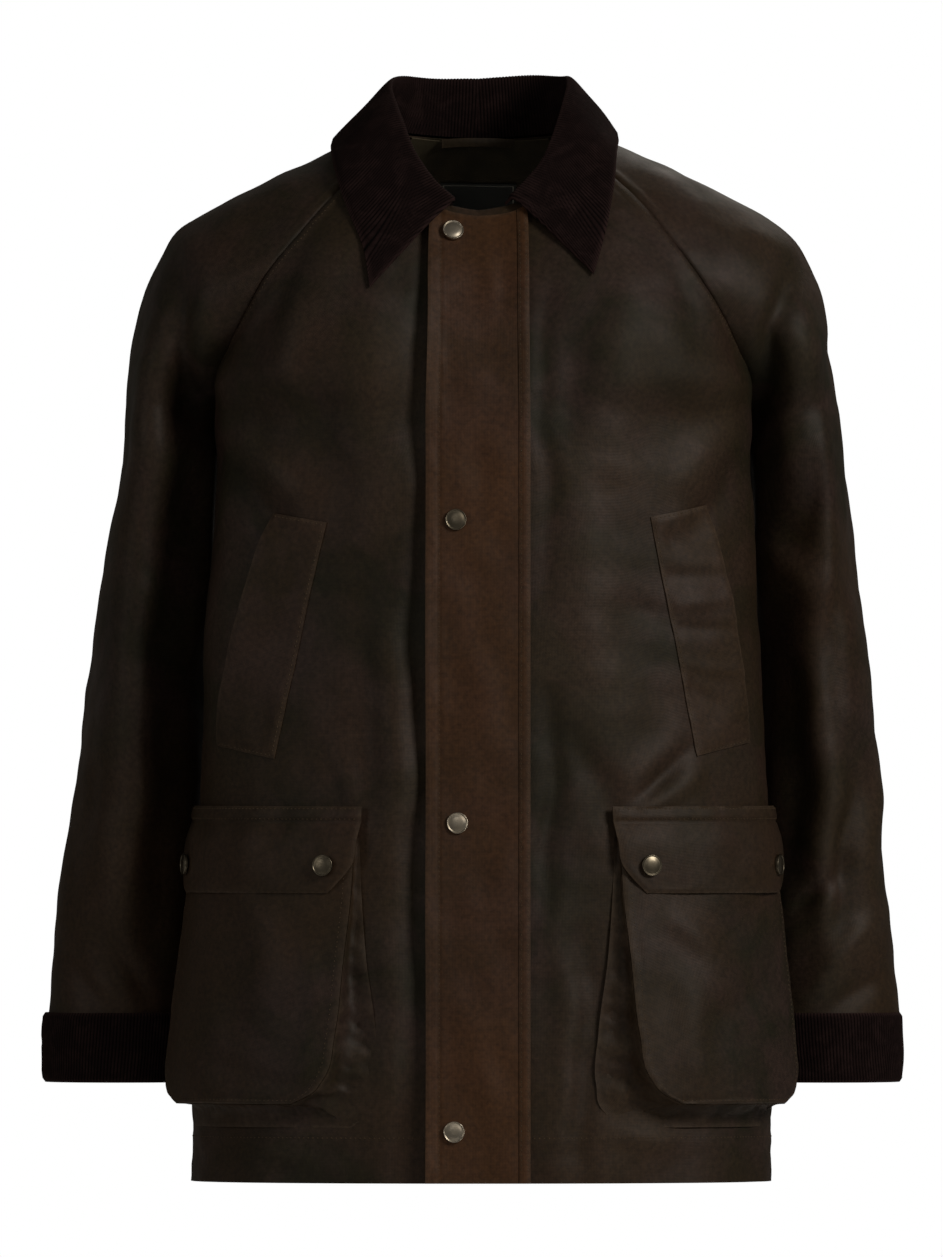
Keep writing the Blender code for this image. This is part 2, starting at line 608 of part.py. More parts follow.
def make_bags(body):
    """Bellows pockets: a front that stands off the jacket, a gusset round three sides of it, and a flap."""
    for side in SIDES:
        name = side[0]
        panel = body["front_" + name]
        shift = POCKET_SHIFT[name]
        rows = [dict(zip(BAG[0], row)) for row in BAG[1:]]
        places = [[((1 - share) * (row["inner"] + shift) + share * row["outer"], row["height"])
                   for share in spread(BAG_COLUMNS)] for row in rows]
        net, outs = panel_net(panel, places)
        stand = np.array([row["stand"] for row in rows])[:, None]
        cloth("pocket_front_" + name, net, outs, WALL + stand + 0 * net[..., 0], WALL, "waxed_cotton")
        make_gusset(name, panel, rows, shift, net + outs * (WALL + stand)[..., None], outs)
        make_pocket_flap(name, panel, shift)


def make_gusset(name, panel, rows, shift, bag, outs):
    """A strip from the jacket to the back of the bag's edge, down one side, along the bottom and up."""
    last = len(rows) - 1
    bottom = [(0, j) for j in range(1, BAG_COLUMNS)]
    path = [(i, 0) for i in range(last, -1, -1)] + bottom + [(i, BAG_COLUMNS) for i in range(last + 1)]
    foot, top = [], []
    for i, j in path:
        row = rows[i]
        share = j / BAG_COLUMNS
        across = (1 - share) * (row["foot_inner"] + shift) + share * row["foot_outer"]
        point, out = on_panel(panel, across, row["foot_height"])
        foot.append(point + out * (WALL + PATCH_LIFT))
        top.append(bag[i, j] - outs[i, j] * 2 * SEAM_GAP)
    foot, top = np.array(foot), np.array(top)
    net = np.stack([foot, (foot + top) / 2, top])
    centre = bag.reshape(-1, 3).mean(axis=0)
    normals = shared_normals([(net, 1)])[0]
    away = np.sign(((net - centre) * normals).sum(axis=2).mean())
    cloth("pocket_gusset_" + name, net, normals * away, 0.0, WALL, "waxed_cotton")


def make_pocket_flap(name, panel, shift):
    rows = [dict(zip(POCKET_FLAP[0], row)) for row in POCKET_FLAP[1:]]
    places = [[((1 - share) * (row["inner"] + shift) + share * row["outer"], row["height"])
               for share in spread(BAG_COLUMNS)] for row in rows]
    net, outs = panel_net(panel, places)
    stand = np.array([row["stand"] for row in rows])[:, None]
    cloth("pocket_flap_" + name, net, outs, WALL + stand + 0 * net[..., 0], FLAP_WALL, "waxed_cotton")
    edges = (rows[-1]["inner"] + shift + POCKET_SNAP_INSET, rows[-1]["outer"] - POCKET_SNAP_INSET)
    for place, across in zip(("inner", "outer"), edges):
        point, out = on_panel(panel, across, POCKET_SNAP_HEIGHT)
        top = WALL + rows[POCKET_SNAP_ROW]["stand"] + FLAP_WALL + SNAP_CLEAR
        snap("snap_pocket_%s_%s" % (name, place), point + top * out, out)


def across_neck(line, xs):
    """Values along the middle of one of the back's rows, read at the given x. line: points, then values."""
    points, values = line
    middle = slice(BACK_COLUMNS - NECK_SPAN, BACK_COLUMNS + NECK_SPAN + 1)
    return np.column_stack([np.interp(xs, points[middle, 0], values[middle, axis]) for axis in range(3)])


def make_neck_pieces(body):
    """Inside the back of the neck: the lining, a bare label on it, and the hanging loop over the seam."""
    net, outs = body["back"]
    last = net.shape[0] - 1
    lined = (slice(last - LINING_ROWS, None), slice(2, -2))
    cloth("back_lining", pulled_in(net[lined], 2 * SEAM_GAP), -outs[lined], SEAM_GAP, LINING_WALL, "lining")
    xs = np.linspace(-LABEL_HALF, LABEL_HALF, 5)
    label, label_outs = [], []
    for down in np.linspace(LABEL_ROWS[1], LABEL_ROWS[0], 3):
        low = int(last - down)
        share = last - down - low
        points = (1 - share) * net[low] + share * net[low + 1]
        directions = (1 - share) * outs[low] + share * outs[low + 1]
        label.append(across_neck((points, points), xs))
        label_outs.append(across_neck((points, directions), xs))
    label_outs = np.array(label_outs)
    label_outs = label_outs / np.linalg.norm(label_outs, axis=2, keepdims=True)
    under_label = 2 * SEAM_GAP + LINING_WALL + LIFT
    cloth("neck_label", np.array(label), -label_outs, under_label, LABEL_WALL, "label_satin")
    xs = np.linspace(-LOOP_HALF, LOOP_HALF, 7)
    seat = across_neck((net[-1], net[-1]), xs)
    arch = LOOP_STAND * np.sin(np.pi * spread(len(xs) - 1)) + LINING_WALL
    loop = np.stack([seat - [0, 0, LOOP_HEIGHT + LOOP_DROP], seat - [0, 0, LOOP_DROP]])
    inwards = np.broadcast_to(np.array([0.0, -1.0, 0.0]), loop.shape)
    cloth("hanger_loop", loop, inwards, np.stack([arch, arch]), LOOP_WALL, "lining")


clear_scene()
jacket = make_body()
make_cuffs()
make_collar()
make_storm_flap(jacket)
make_welts(jacket)
make_bags(jacket)
make_neck_pieces(jacket)
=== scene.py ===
"""The looks of a waxed cotton jacket with a corduroy collar and cuffs, filled out as if worn.

Metres, +Z up. The front faces -Y and +X is the wearer's left. The origin is between the shoulders, at the
height of the side of the neck. Each piece of cloth is a fine net of points on the garment's form, creased,
and given its wall.
"""
import math

import bpy
import numpy as np
from mathutils import Matrix, Vector


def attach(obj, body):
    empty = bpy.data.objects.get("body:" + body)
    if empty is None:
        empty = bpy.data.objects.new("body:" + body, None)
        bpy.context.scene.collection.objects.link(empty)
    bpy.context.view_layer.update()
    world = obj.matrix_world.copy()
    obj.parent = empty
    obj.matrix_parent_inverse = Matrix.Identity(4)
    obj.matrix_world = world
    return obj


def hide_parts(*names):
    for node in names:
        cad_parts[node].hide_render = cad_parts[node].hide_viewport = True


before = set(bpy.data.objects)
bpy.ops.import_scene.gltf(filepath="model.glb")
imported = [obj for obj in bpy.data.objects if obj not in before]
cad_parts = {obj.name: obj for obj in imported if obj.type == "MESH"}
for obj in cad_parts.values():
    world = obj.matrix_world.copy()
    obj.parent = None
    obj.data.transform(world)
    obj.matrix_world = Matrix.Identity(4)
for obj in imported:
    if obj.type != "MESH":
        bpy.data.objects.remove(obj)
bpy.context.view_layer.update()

# ---------------------------------------------------------------------------------------------------------
# The room: a pale floor and a white surround, with one large soft light high on the wearer's left, a weaker
# one low on the right, and a narrow one behind that draws the shoulders out.
CAMERA_AWAY = 24.0
VIEW_TALL = 0.930
VIEW_MIDDLE = (-0.005, -0.354)
SENSOR = 36.0
FLOOR, FLOOR_SIDE = -1.50, 3.4  # as low as where the wearer would stand
LIGHT_AIM = (0.0, 0.0, -0.35)
LAMP_COLOUR = "#fff7ec"
SURROUND_GLOW = 0.08
ROOM_LIGHTS = (
    ("name", "x", "y", "z", "width", "watts"),
    ("key", 2.4, -2.3, 1.2, 1.1, 44),
    ("fill", -3.0, -2.2, 0.3, 1.2, 7),
    ("front", 0.2, -4.5, 0.9, 1.6, 5),
    ("rim", 0.9, 2.6, 1.9, 1.2, 14),
)


def linear(text):
    """An sRGB colour written as hex, turned to the linear one that a shader takes."""
    parts = [int(text[i:i + 2], 16) / 255 for i in (1, 3, 5)]
    return (*[part / 12.92 if part <= 0.04045 else ((part + 0.055) / 1.055) ** 2.4 for part in parts], 1.0)


def add(tree, kind, inputs=(), **settings):
    """One node. inputs are its sockets' numbers, colours or links, and settings are its own properties."""
    made = tree.nodes.new(kind)
    for name, value in settings.items():
        setattr(made, name, value)
    for name, value in dict(inputs).items():
        if isinstance(value, bpy.types.NodeSocket):
            tree.links.new(value, made.inputs[name])
        else:
            made.inputs[name].default_value = value
    return made


def put(name, data):
    """A new object in the scene that holds a mesh, a light or a camera."""
    made = bpy.data.objects.new(name, data)
    bpy.context.scene.collection.objects.link(made)
    return made


def new_finish(name):
    """A new material, its nodes and its main shader."""
    made = bpy.data.materials.new(name)
    made.use_nodes = True
    return made, made.node_tree, made.node_tree.nodes["Principled BSDF"]


camera = put("camera", bpy.data.cameras.new("camera"))
camera.data.sensor_width = SENSOR
camera.data.lens = SENSOR * CAMERA_AWAY / VIEW_TALL
camera.data.clip_end = 60.0
camera.location = (VIEW_MIDDLE[0], -CAMERA_AWAY, VIEW_MIDDLE[1])
camera.rotation_euler = (math.radians(90), 0, 0)
bpy.context.scene.camera = camera
bpy.context.scene.view_settings.view_transform = "Standard"

for name, x, y, z, width, watts in ROOM_LIGHTS[1:]:
    light = put("light_" + name, bpy.data.lights.new("light_" + name, "AREA"))
    light.data.size = width
    light.data.energy = watts
    light.data.color = linear(LAMP_COLOUR)[:3]
    light.location = (x, y, z)
    aim = Vector(LIGHT_AIM) - light.location
    light.rotation_euler = aim.to_track_quat("-Z", "Y").to_euler()

world = bpy.data.worlds.new("white_surround")
world.use_nodes = True
bpy.context.scene.world = world
seen = world.node_tree.nodes["Background"]
seen.inputs["Color"].default_value = linear("#ffffff")
seen.inputs["Strength"].default_value = 1.0
lit = add(world.node_tree, "ShaderNodeBackground", {"Color": linear("#f5efe4"), "Strength": SURROUND_GLOW})
ray = add(world.node_tree, "ShaderNodeLightPath")
surround = add(world.node_tree, "ShaderNodeMixShader", {
    0: ray.outputs["Is Camera Ray"], 1: lit.outputs[0], 2: seen.outputs[0]})
world.node_tree.links.new(surround.outputs[0], world.node_tree.nodes["World Output"].inputs["Surface"])

bpy.ops.object.select_all(action="DESELECT")
bpy.ops.mesh.primitive_plane_add(size=FLOOR_SIDE, location=(0, 0, FLOOR))
floor = bpy.context.object
floor.name = "floor"
floor.data.transform(Matrix.Translation(floor.location))
floor.location = (0, 0, 0)
painted, tree, shader = new_finish("matt_floor_paint")
shader.inputs["Base Color"].default_value = linear("#e9e8e6")
shader.inputs["Roughness"].default_value = 0.8
floor.data.materials.append(painted)

# ---------------------------------------------------------------------------------------------------------
# The shell: two fronts, a back and two raglan sleeves, cut from one waxed cotton and felled together. Their
# rows share the seams' points, and soft folds fall from the shoulders, the armpits and the elbows.
HEM, UNDERARM, NECK = -0.762, -0.195, -0.005
CUFF_TOP, CUFF_BOTTOM = -0.6385, -0.690
WALL = 0.0015
FULLNESS = 0.48
NEAR_RISE, FAR_RISE = 0.10, 0.35
BODY_ROWS, YOKE_ROWS, ARM_ROWS = 136, 50, 110
FRONT_COLUMNS, BACK_COLUMNS, SLEEVE_COLUMNS = 64, 52, 44  # the back's and a sleeve's are for each half
FINE = 121
ROW_LENGTH, HALF_SLEEVE = 0.30, 0.16  # about how long a front's row is, and half a sleeve's
SIDES = (("right", -1), ("left", 1))
PLUM, OLIVE, BROWN = "#3a2c26", "#252113", "#3b2a1a"
# A lighter colour: a bloom of dry wax on worn edges and stitching, and painted highlight on the ridges of
# folds and crinkles.
BLOOM_AND_SHEEN = "#5a4c3e"
WAXED_IOR = 1.47
THREAD_MM = 1.1  # such cloth's threads are usually about 0.5 mm apart; these are coarse enough to show
WAVE_MM = 314.16  # how far apart a wave texture's bands lie at a scale of 1
CRUMPLE_MM = 24
PATCH_MM, CLOUD_MM, SPECK_MM = 60, 170, 3.5
SHARP_ANGLE = math.radians(55)
SEAM_SOFT = (0.002, 0.028)  # folds grow from nothing over this stretch beside a seam
FELL_EDGE, FELL_HIGH = (0.0065, 0.0085), 0.0005  # a felled seam is thicker as far as this
SEAM_WIDE, SEAM_DEEP = 0.0011, 0.0013
HEM_EDGE, HEM_HIGH = (0.0335, 0.0355), 0.0005  # and so is the turned hem

FRONT = (
    ("level", "right_x", "left_x", "seam_y", "turn", "centre_y", "centre_z"),
    (-0.762, 0.2020, 0.2070, 0.015, 107, -0.166, -0.762),
    (-0.620, 0.1995, 0.2065, 0.015, 107, -0.164, -0.620),
    (-0.480, 0.1960, 0.2050, 0.015, 107, -0.160, -0.480),
    (-0.340, 0.1885, 0.1985, 0.015, 107, -0.156, -0.340),
    (-0.245, 0.1855, 0.1945, 0.015, 106, -0.153, -0.245),
    (-0.195, 0.1885, 0.1955, 0.015, 104, -0.150, -0.195),
    (-0.171, 0.1930, 0.2000, -0.030, 92, -0.1475, -0.176),
    (-0.148, 0.1840, 0.1910, -0.062, 75, -0.144, -0.158),
    (-0.120, 0.1705, 0.1780, -0.084, 60, -0.139, -0.138),
    (-0.092, 0.1550, 0.1605, -0.093, 45, -0.132, -0.118),
    (-0.066, 0.1340, 0.1410, -0.088, 36, -0.1225, -0.097),
    (-0.036, 0.1075, 0.1160, -0.072, 40, -0.108, -0.074),
    (-0.005, 0.0750, 0.0800, -0.045, 58, -0.088, -0.046),
)
BACK = (
    ("level", "right_x", "left_x", "seam_y", "seam_z", "turn", "centre_y", "centre_z"),
    (-0.762, 0.2020, 0.2070, 0.015, -0.762, 73, 0.150, -0.762),
    (-0.620, 0.1995, 0.2065, 0.015, -0.620, 73, 0.146, -0.620),
    (-0.480, 0.1960, 0.2050, 0.015, -0.480, 73, 0.142, -0.480),
    (-0.340, 0.1885, 0.1985, 0.015, -0.340, 73, 0.143, -0.340),
    (-0.245, 0.1855, 0.1945, 0.015, -0.245, 74, 0.146, -0.245),
    (-0.195, 0.1885, 0.1955, 0.015, -0.195, 76, 0.146, -0.195),
    (-0.171, 0.1880, 0.1940, 0.055, -0.172, 88, 0.144, -0.170),
    (-0.148, 0.1800, 0.1870, 0.083, -0.148, 78, 0.141, -0.146),
    (-0.120, 0.1680, 0.1750, 0.101, -0.118, 62, 0.137, -0.118),
    (-0.092, 0.1520, 0.1580, 0.108, -0.088, 46, 0.130, -0.088),
    (-0.066, 0.1300, 0.1360, 0.100, -0.057, 38, 0.117, -0.056),
    (-0.036, 0.0980, 0.1030, 0.076, -0.022, 40, 0.094, -0.022),
    (-0.005, 0.0620, 0.0660, 0.042, 0.012, 55, 0.062, 0.008),
)
SLEEVE = (
    ("level", "right_x", "left_x", "outer_y", "outer_z", "turn", "reach"),
    (-0.6385, 0.3180, 0.3110, 0.053, -0.6385, -88, 0.077),
    (-0.533, 0.3065, 0.3000, 0.048, -0.533, -84, 0.086),
    (-0.444, 0.2940, 0.2930, 0.044, -0.444, -78, 0.094),
    (-0.355, 0.2825, 0.2850, 0.040, -0.355, -72, 0.101),
    (-0.270, 0.2685, 0.2740, 0.036, -0.270, -66, 0.104),
    (-0.195, 0.2560, 0.2645, 0.031, -0.190, -60, 0.100),
    (-0.171, 0.2515, 0.2590, 0.028, -0.152, -45, 0.080),
    (-0.148, 0.2460, 0.2535, 0.025, -0.118, -30, 0.067),
    (-0.120, 0.2345, 0.2410, 0.020, -0.083, 0, 0.060),
    (-0.092, 0.2120, 0.2170, 0.014, -0.055, 15, 0.055),
    (-0.066, 0.1720, 0.1790, 0.008, -0.033, 25, 0.050),
    (-0.036, 0.1250, 0.1320, 0.002, -0.011, 35, 0.040),
    (-0.005, 0.0820, 0.0875, -0.003, 0.009, 58, 0.018),
)
INNER = (
    ("level", "right_x", "left_x", "seam_y"),
    (-0.6385, 0.2085, 0.2040, 0.053),
    (-0.533, 0.2060, 0.2045, 0.048),
    (-0.444, 0.2020, 0.2045, 0.044),
    (-0.355, 0.1980, 0.2040, 0.040),
    (-0.270, 0.1945, 0.2030, 0.030),
    (-0.195, 0.1885, 0.1955, 0.015),
)
# Folds drawn on each panel as it is seen from in front or behind. Each is x0, z0, x1, z1 of its line, half
# its width, and how far it stands out (a ridge) or in (a trough).
FOLDS = {
    "front_right": (
        (-0.0440, -0.050, -0.0430, -0.800, 0.0075, -0.0040),
        (-0.072, -0.120, -0.082, -0.310, 0.022, 0.0045),
        (-0.108, -0.140, -0.114, -0.300, 0.017, -0.0035),
        (-0.060, -0.320, -0.064, -0.600, 0.012, 0.0045),
        (-0.085, -0.340, -0.088, -0.520, 0.014, -0.0035),
        (-0.070, -0.560, -0.063, -0.720, 0.009, 0.0035),
        (-0.052, -0.600, -0.056, -0.790, 0.006, -0.0025),
        (-0.117, -0.450, -0.099, -0.500, 0.006, -0.0020),
        (-0.104, -0.440, -0.092, -0.500, 0.006, 0.0015),
        (-0.186, -0.200, -0.125, -0.262, 0.012, 0.0040),
        (-0.190, -0.232, -0.140, -0.285, 0.010, -0.0040),
        (-0.182, -0.240, -0.192, -0.450, 0.014, 0.0045),
        (-0.135, -0.060, -0.168, -0.165, 0.010, -0.0030),
        (-0.118, -0.085, -0.145, -0.180, 0.013, 0.0030),
        (-0.160, -0.735, -0.120, -0.740, 0.008, 0.0020),
    ),
    "front_left": (
        (0.0500, -0.100, 0.0490, -0.330, 0.0070, -0.0030),
        (0.072, -0.240, 0.092, -0.450, 0.024, 0.0055),
        (0.052, -0.400, 0.053, -0.560, 0.0065, -0.0050),
        (0.064, -0.430, 0.100, -0.500, 0.011, -0.0035),
        (0.153, -0.440, 0.110, -0.485, 0.0042, -0.0045),
        (0.160, -0.455, 0.122, -0.488, 0.0060, 0.0035),
        (0.142, -0.430, 0.104, -0.472, 0.0070, 0.0025),
        (0.112, -0.335, 0.140, -0.350, 0.0080, -0.0020),
        (0.190, -0.198, 0.135, -0.250, 0.012, 0.0045),
        (0.196, -0.225, 0.150, -0.290, 0.011, -0.0045),
        (0.110, -0.110, 0.098, -0.230, 0.020, 0.0040),
        (0.078, -0.120, 0.070, -0.220, 0.014, -0.0030),
        (0.140, -0.070, 0.172, -0.160, 0.011, -0.0030),
        (0.060, -0.560, 0.066, -0.760, 0.010, 0.0040),
        (0.080, -0.580, 0.076, -0.760, 0.009, -0.0035),
        (0.205, -0.330, 0.196, -0.440, 0.009, -0.0030),
        (0.150, -0.735, 0.100, -0.728, 0.008, 0.0022),
        (0.200, -0.725, 0.206, -0.770, 0.006, -0.0030),
    ),
    "back": (
        (-0.070, -0.120, -0.095, -0.420, 0.020, 0.0050),
        (-0.105, -0.130, -0.128, -0.360, 0.016, -0.0045),
        (0.075, -0.110, 0.088, -0.390, 0.021, 0.0050),
        (0.110, -0.140, 0.135, -0.380, 0.015, -0.0045),
        (-0.020, -0.200, -0.012, -0.520, 0.018, -0.0035),
        (0.022, -0.420, 0.030, -0.760, 0.016, 0.0045),
        (-0.060, -0.480, -0.070, -0.770, 0.014, -0.0045),
        (-0.120, -0.440, -0.130, -0.770, 0.018, 0.0045),
        (0.100, -0.460, 0.096, -0.770, 0.015, -0.0045),
        (0.150, -0.420, 0.155, -0.700, 0.018, 0.0040),
        (-0.185, -0.200, -0.110, -0.250, 0.012, 0.0040),
        (0.190, -0.200, 0.120, -0.262, 0.012, 0.0040),
        (-0.150, -0.300, -0.060, -0.345, 0.013, -0.0030),
        (0.160, -0.330, 0.050, -0.372, 0.012, -0.0030),
        (-0.140, -0.075, -0.165, -0.170, 0.012, -0.0035),
        (0.146, -0.070, 0.172, -0.165, 0.012, -0.0035),
    ),
    "sleeve_right": (
        (-0.200, -0.215, -0.203, -0.380, 0.0160, 0.0090),
        (-0.227, -0.085, -0.206, -0.215, 0.0095, -0.0100),
        (-0.243, -0.110, -0.238, -0.270, 0.0130, 0.0050),
        (-0.251, -0.330, -0.262, -0.610, 0.0130, 0.0060),
        (-0.225, -0.260, -0.232, -0.640, 0.0150, -0.0060),
        (-0.283, -0.360, -0.296, -0.560, 0.0100, -0.0035),
        (-0.306, -0.590, -0.284, -0.634, 0.0075, -0.0035),
        (-0.268, -0.580, -0.248, -0.634, 0.0080, -0.0040),
        (-0.262, -0.240, -0.272, -0.330, 0.0090, 0.0025),
        (-0.212, -0.045, -0.236, -0.090, 0.0130, 0.0030),
        (-0.290, -0.610, -0.270, -0.620, 0.0070, 0.0030),
    ),
    "sleeve_left": (
        (0.208, -0.215, 0.208, -0.380, 0.0160, 0.0070),
        (0.229, -0.090, 0.203, -0.205, 0.0100, -0.0090),
        (0.243, -0.120, 0.222, -0.290, 0.0120, 0.0055),
        (0.262, -0.150, 0.238, -0.290, 0.0085, -0.0045),
        (0.212, -0.290, 0.247, -0.330, 0.0120, 0.0060),
        (0.273, -0.280, 0.262, -0.430, 0.0100, -0.0055),
        (0.226, -0.345, 0.231, -0.530, 0.0120, -0.0100),
        (0.252, -0.400, 0.262, -0.590, 0.0100, 0.0065),
        (0.277, -0.430, 0.268, -0.590, 0.0075, -0.0050),
        (0.289, -0.440, 0.291, -0.560, 0.0070, 0.0035),
        (0.240, -0.628, 0.300, -0.562, 0.0085, 0.0065),
        (0.254, -0.640, 0.304, -0.602, 0.0075, -0.0055),
        (0.232, -0.570, 0.275, -0.530, 0.0070, -0.0050),
        (0.223, -0.050, 0.246, -0.095, 0.0120, 0.0030),
    ),
    "sleeve_right_behind": (
        (-0.220, -0.100, -0.215, -0.260, 0.0120, -0.0060),
        (-0.250, -0.160, -0.240, -0.330, 0.0120, 0.0055),
        (-0.215, -0.330, -0.270, -0.372, 0.0090, -0.0060),
        (-0.220, -0.372, -0.280, -0.400, 0.0100, 0.0060),
        (-0.225, -0.420, -0.285, -0.440, 0.0090, -0.0055),
        (-0.262, -0.470, -0.272, -0.620, 0.0110, 0.0050),
        (-0.240, -0.520, -0.250, -0.640, 0.0100, -0.0045),
    ),
    "sleeve_left_behind": (
        (0.222, -0.100, 0.218, -0.250, 0.0120, -0.0060),
        (0.252, -0.170, 0.244, -0.330, 0.0120, 0.0055),
        (0.218, -0.345, 0.272, -0.388, 0.0090, -0.0060),
        (0.222, -0.388, 0.282, -0.418, 0.0100, 0.0060),
        (0.228, -0.436, 0.284, -0.452, 0.0090, -0.0050),
        (0.266, -0.480, 0.274, -0.620, 0.0110, 0.0050),
        (0.242, -0.530, 0.252, -0.640, 0.0100, -0.0045),
    ),
}


def read(table, name, at):
    """A column of a table at places between its rows, on a smooth curve through them."""
    keys = np.array([row[0] for row in table[1:]])
    values = np.array([row[table[0].index(name)] for row in table[1:]], dtype=float)
    steps = np.diff(keys)
    rises = np.diff(values) / steps
    inner = (rises[:-1] * steps[1:] + rises[1:] * steps[:-1]) / (steps[1:] + steps[:-1])
    slopes = np.concatenate((rises[:1], inner, rises[-1:]))
    i = np.clip(np.searchsorted(keys, at, side="right") - 1, 0, len(steps) - 1)
    t = np.clip((at - keys[i]) / steps[i], 0.0, 1.0)
    start = (2 * t**3 - 3 * t**2 + 1) * values[i] + (t**3 - 2 * t**2 + t) * steps[i] * slopes[i]
    return start + (3 * t**2 - 2 * t**3) * values[i + 1] + (t**3 - t**2) * steps[i] * slopes[i + 1]


def spread(count):
    return np.linspace(0, 1, count + 1)


def unit(vectors, least=1e-12):
    """The same directions, each 1 long. Ones shorter than the least stay close to nothing."""
    return vectors / np.maximum(np.linalg.norm(vectors, axis=-1, keepdims=True), least)


def near(far, width):
    """1 where a distance is nothing, dying away smoothly over about the width."""
    return np.exp(-np.square(far / width))


def bezier(corners, share):
    """Points of a cubic curve at an array of shares from 0 to 1."""
    share = np.asarray(share, dtype=float)[:, None]
    first, second, third, fourth = (np.asarray(corner, dtype=float) for corner in corners)
    rest = 1 - share
    return rest**3 * first + 3 * rest**2 * share * second + 3 * rest * share**2 * third + share**3 * fourth


def lengths_of(line):
    return np.concatenate(([0.0], np.cumsum(np.linalg.norm(np.diff(line, axis=0), axis=1))))


def evenly(line, places):
    """Points along a line at the given shares of its length."""
    lengths = lengths_of(line)
    return np.column_stack([np.interp(np.asarray(places) * lengths[-1], lengths, line[:, axis])
                            for axis in range(3)])


def seam(table, side, level):
    height = read(table, "seam_z", level) if "seam_z" in table[0] else level
    return np.array([side[1] * read(table, side[0] + "_x", level), read(table, "seam_y", level), height])


def body_row(table, side, level):
    """A fine line along one row of the front or the back, from its centre line to its seam."""
    face = -1 if table is FRONT else 1
    centre = np.array([0.0, read(table, "centre_y", level), read(table, "centre_z", level)])
    end = seam(table, side, level)
    reach = FULLNESS * np.linalg.norm(end - centre)
    turn = math.radians(read(table, "turn", level))
    heading = np.array([side[1] * math.cos(turn), -face * math.sin(turn), 0.0])
    rise = np.array([0.0, 0.0, end[2] - centre[2]])
    near = centre + np.array([side[1] * reach, 0.0, 0.0]) + NEAR_RISE * rise
    return bezier((centre, near, end - reach * heading - FAR_RISE * rise, end), spread(FINE))


def sleeve_row(side, level):
    """A fine line round one row of a sleeve: from the seam to the outer line, and from there to the seam."""
    name, sign = side
    outer = np.array([sign * read(SLEEVE, name + "_x", level), read(SLEEVE, "outer_y", level),
                      read(SLEEVE, "outer_z", level)])
    starts = (seam(FRONT, side, level), seam(BACK, side, level))
    if level < UNDERARM:
        inner = np.array([sign * read(INNER, name + "_x", level), read(INNER, "seam_y", level), level])
        starts = (inner, inner)
    reach = read(SLEEVE, "reach", level)
    turn = math.radians(read(SLEEVE, "turn", level))
    halves = []
    for start, face in zip(starts, (-1, 1)):
        leave = start + reach * np.array([sign * math.cos(turn), -face * math.sin(turn), 0.0])
        leave[2] += FAR_RISE * (outer[2] - start[2])
        halves.append(bezier((start, leave, outer + np.array([0.0, face * reach, 0.0]), outer), spread(FINE)))
    return halves[0], halves[1][::-1]


def seamed(count, length, both=False):
    """Shares of a row, with a few close together by the seam at its end, or at both ends."""
    close = np.array([0.0005, 0.0015, 0.0035]) / length
    places = np.concatenate((spread(count)[:-1] * (1 - 0.006 / length), 1 - close[::-1], [1.0]))
    return np.concatenate(([0.0], close, places[1:])) if both else places


def directions(net, middles):
    """Outward directions at a net's points. middles holds a point inside the garment for each row."""
    normals = unit(np.cross(np.gradient(net, axis=1), np.gradient(net, axis=0)))
    return normals * np.sign(((net - middles[:, None]) * normals).sum())


def share_direction(first, second):
    """Two edges sewn together get one direction at each point, so that their walls meet."""
    both = unit(first + second)
    first[...] = both
    second[...] = both


def folded(points, folds):
    """How far each point stands out or in by the folds drawn near it. Their lines wander a little."""
    x = points[..., 0] + 0.0035 * np.sin(points[..., 2] * 34 + 1.3) + 0.0015 * np.sin(points[..., 2] * 83)
    z = points[..., 2] + 0.0030 * np.sin(points[..., 0] * 41 + 0.7)
    total = np.zeros(x.shape)
    for x0, z0, x1, z1, width, depth in folds:
        long_x, long_z = x1 - x0, z1 - z0
        along = ((x - x0) * long_x + (z - z0) * long_z) / (long_x**2 + long_z**2)
        t = np.clip(along, 0, 1)
        off = np.hypot(x - x0 - t * long_x, z - z0 - t * long_z)
        total += depth * np.sin(math.pi * (0.1 + 0.8 * t)) * near(off, width)
    return total


def waves(points, size, depth, seed, count=7):
    """Uneven soft dents of about one size, the same ones each time."""
    draw = np.random.default_rng(seed)
    total = np.zeros(points.shape[:-1])
    for _ in range(count):
        way = draw.normal(size=3)
        way = way / np.linalg.norm(way) * 2 * math.pi / (size * draw.uniform(0.7, 1.5))
        total += np.sin(points @ way + draw.uniform(0, 2 * math.pi))
    return depth * total / math.sqrt(count)


def ramp(values, start, end):
    t = np.clip((values - start) / (end - start), 0, 1)
    return t * t * (3 - 2 * t)


def run_along(net, axis):
    """How far each point lies along its row (axis 1) or its column (axis 0)."""
    steps = np.cumsum(np.linalg.norm(np.diff(net, axis=axis), axis=2), axis=axis)
    return np.insert(steps, 0, 0.0, axis=axis)


def from_edge(net, sides=("first", "last", "low", "high")):
    """How far each point is along its row or column from the nearest of the sides."""
    across, up = run_along(net, 1), run_along(net, 0)
    far = {"first": across, "last": across[:, -1:] - across, "low": up, "high": up[-1:] - up}
    return np.minimum.reduce([far[side] for side in sides])


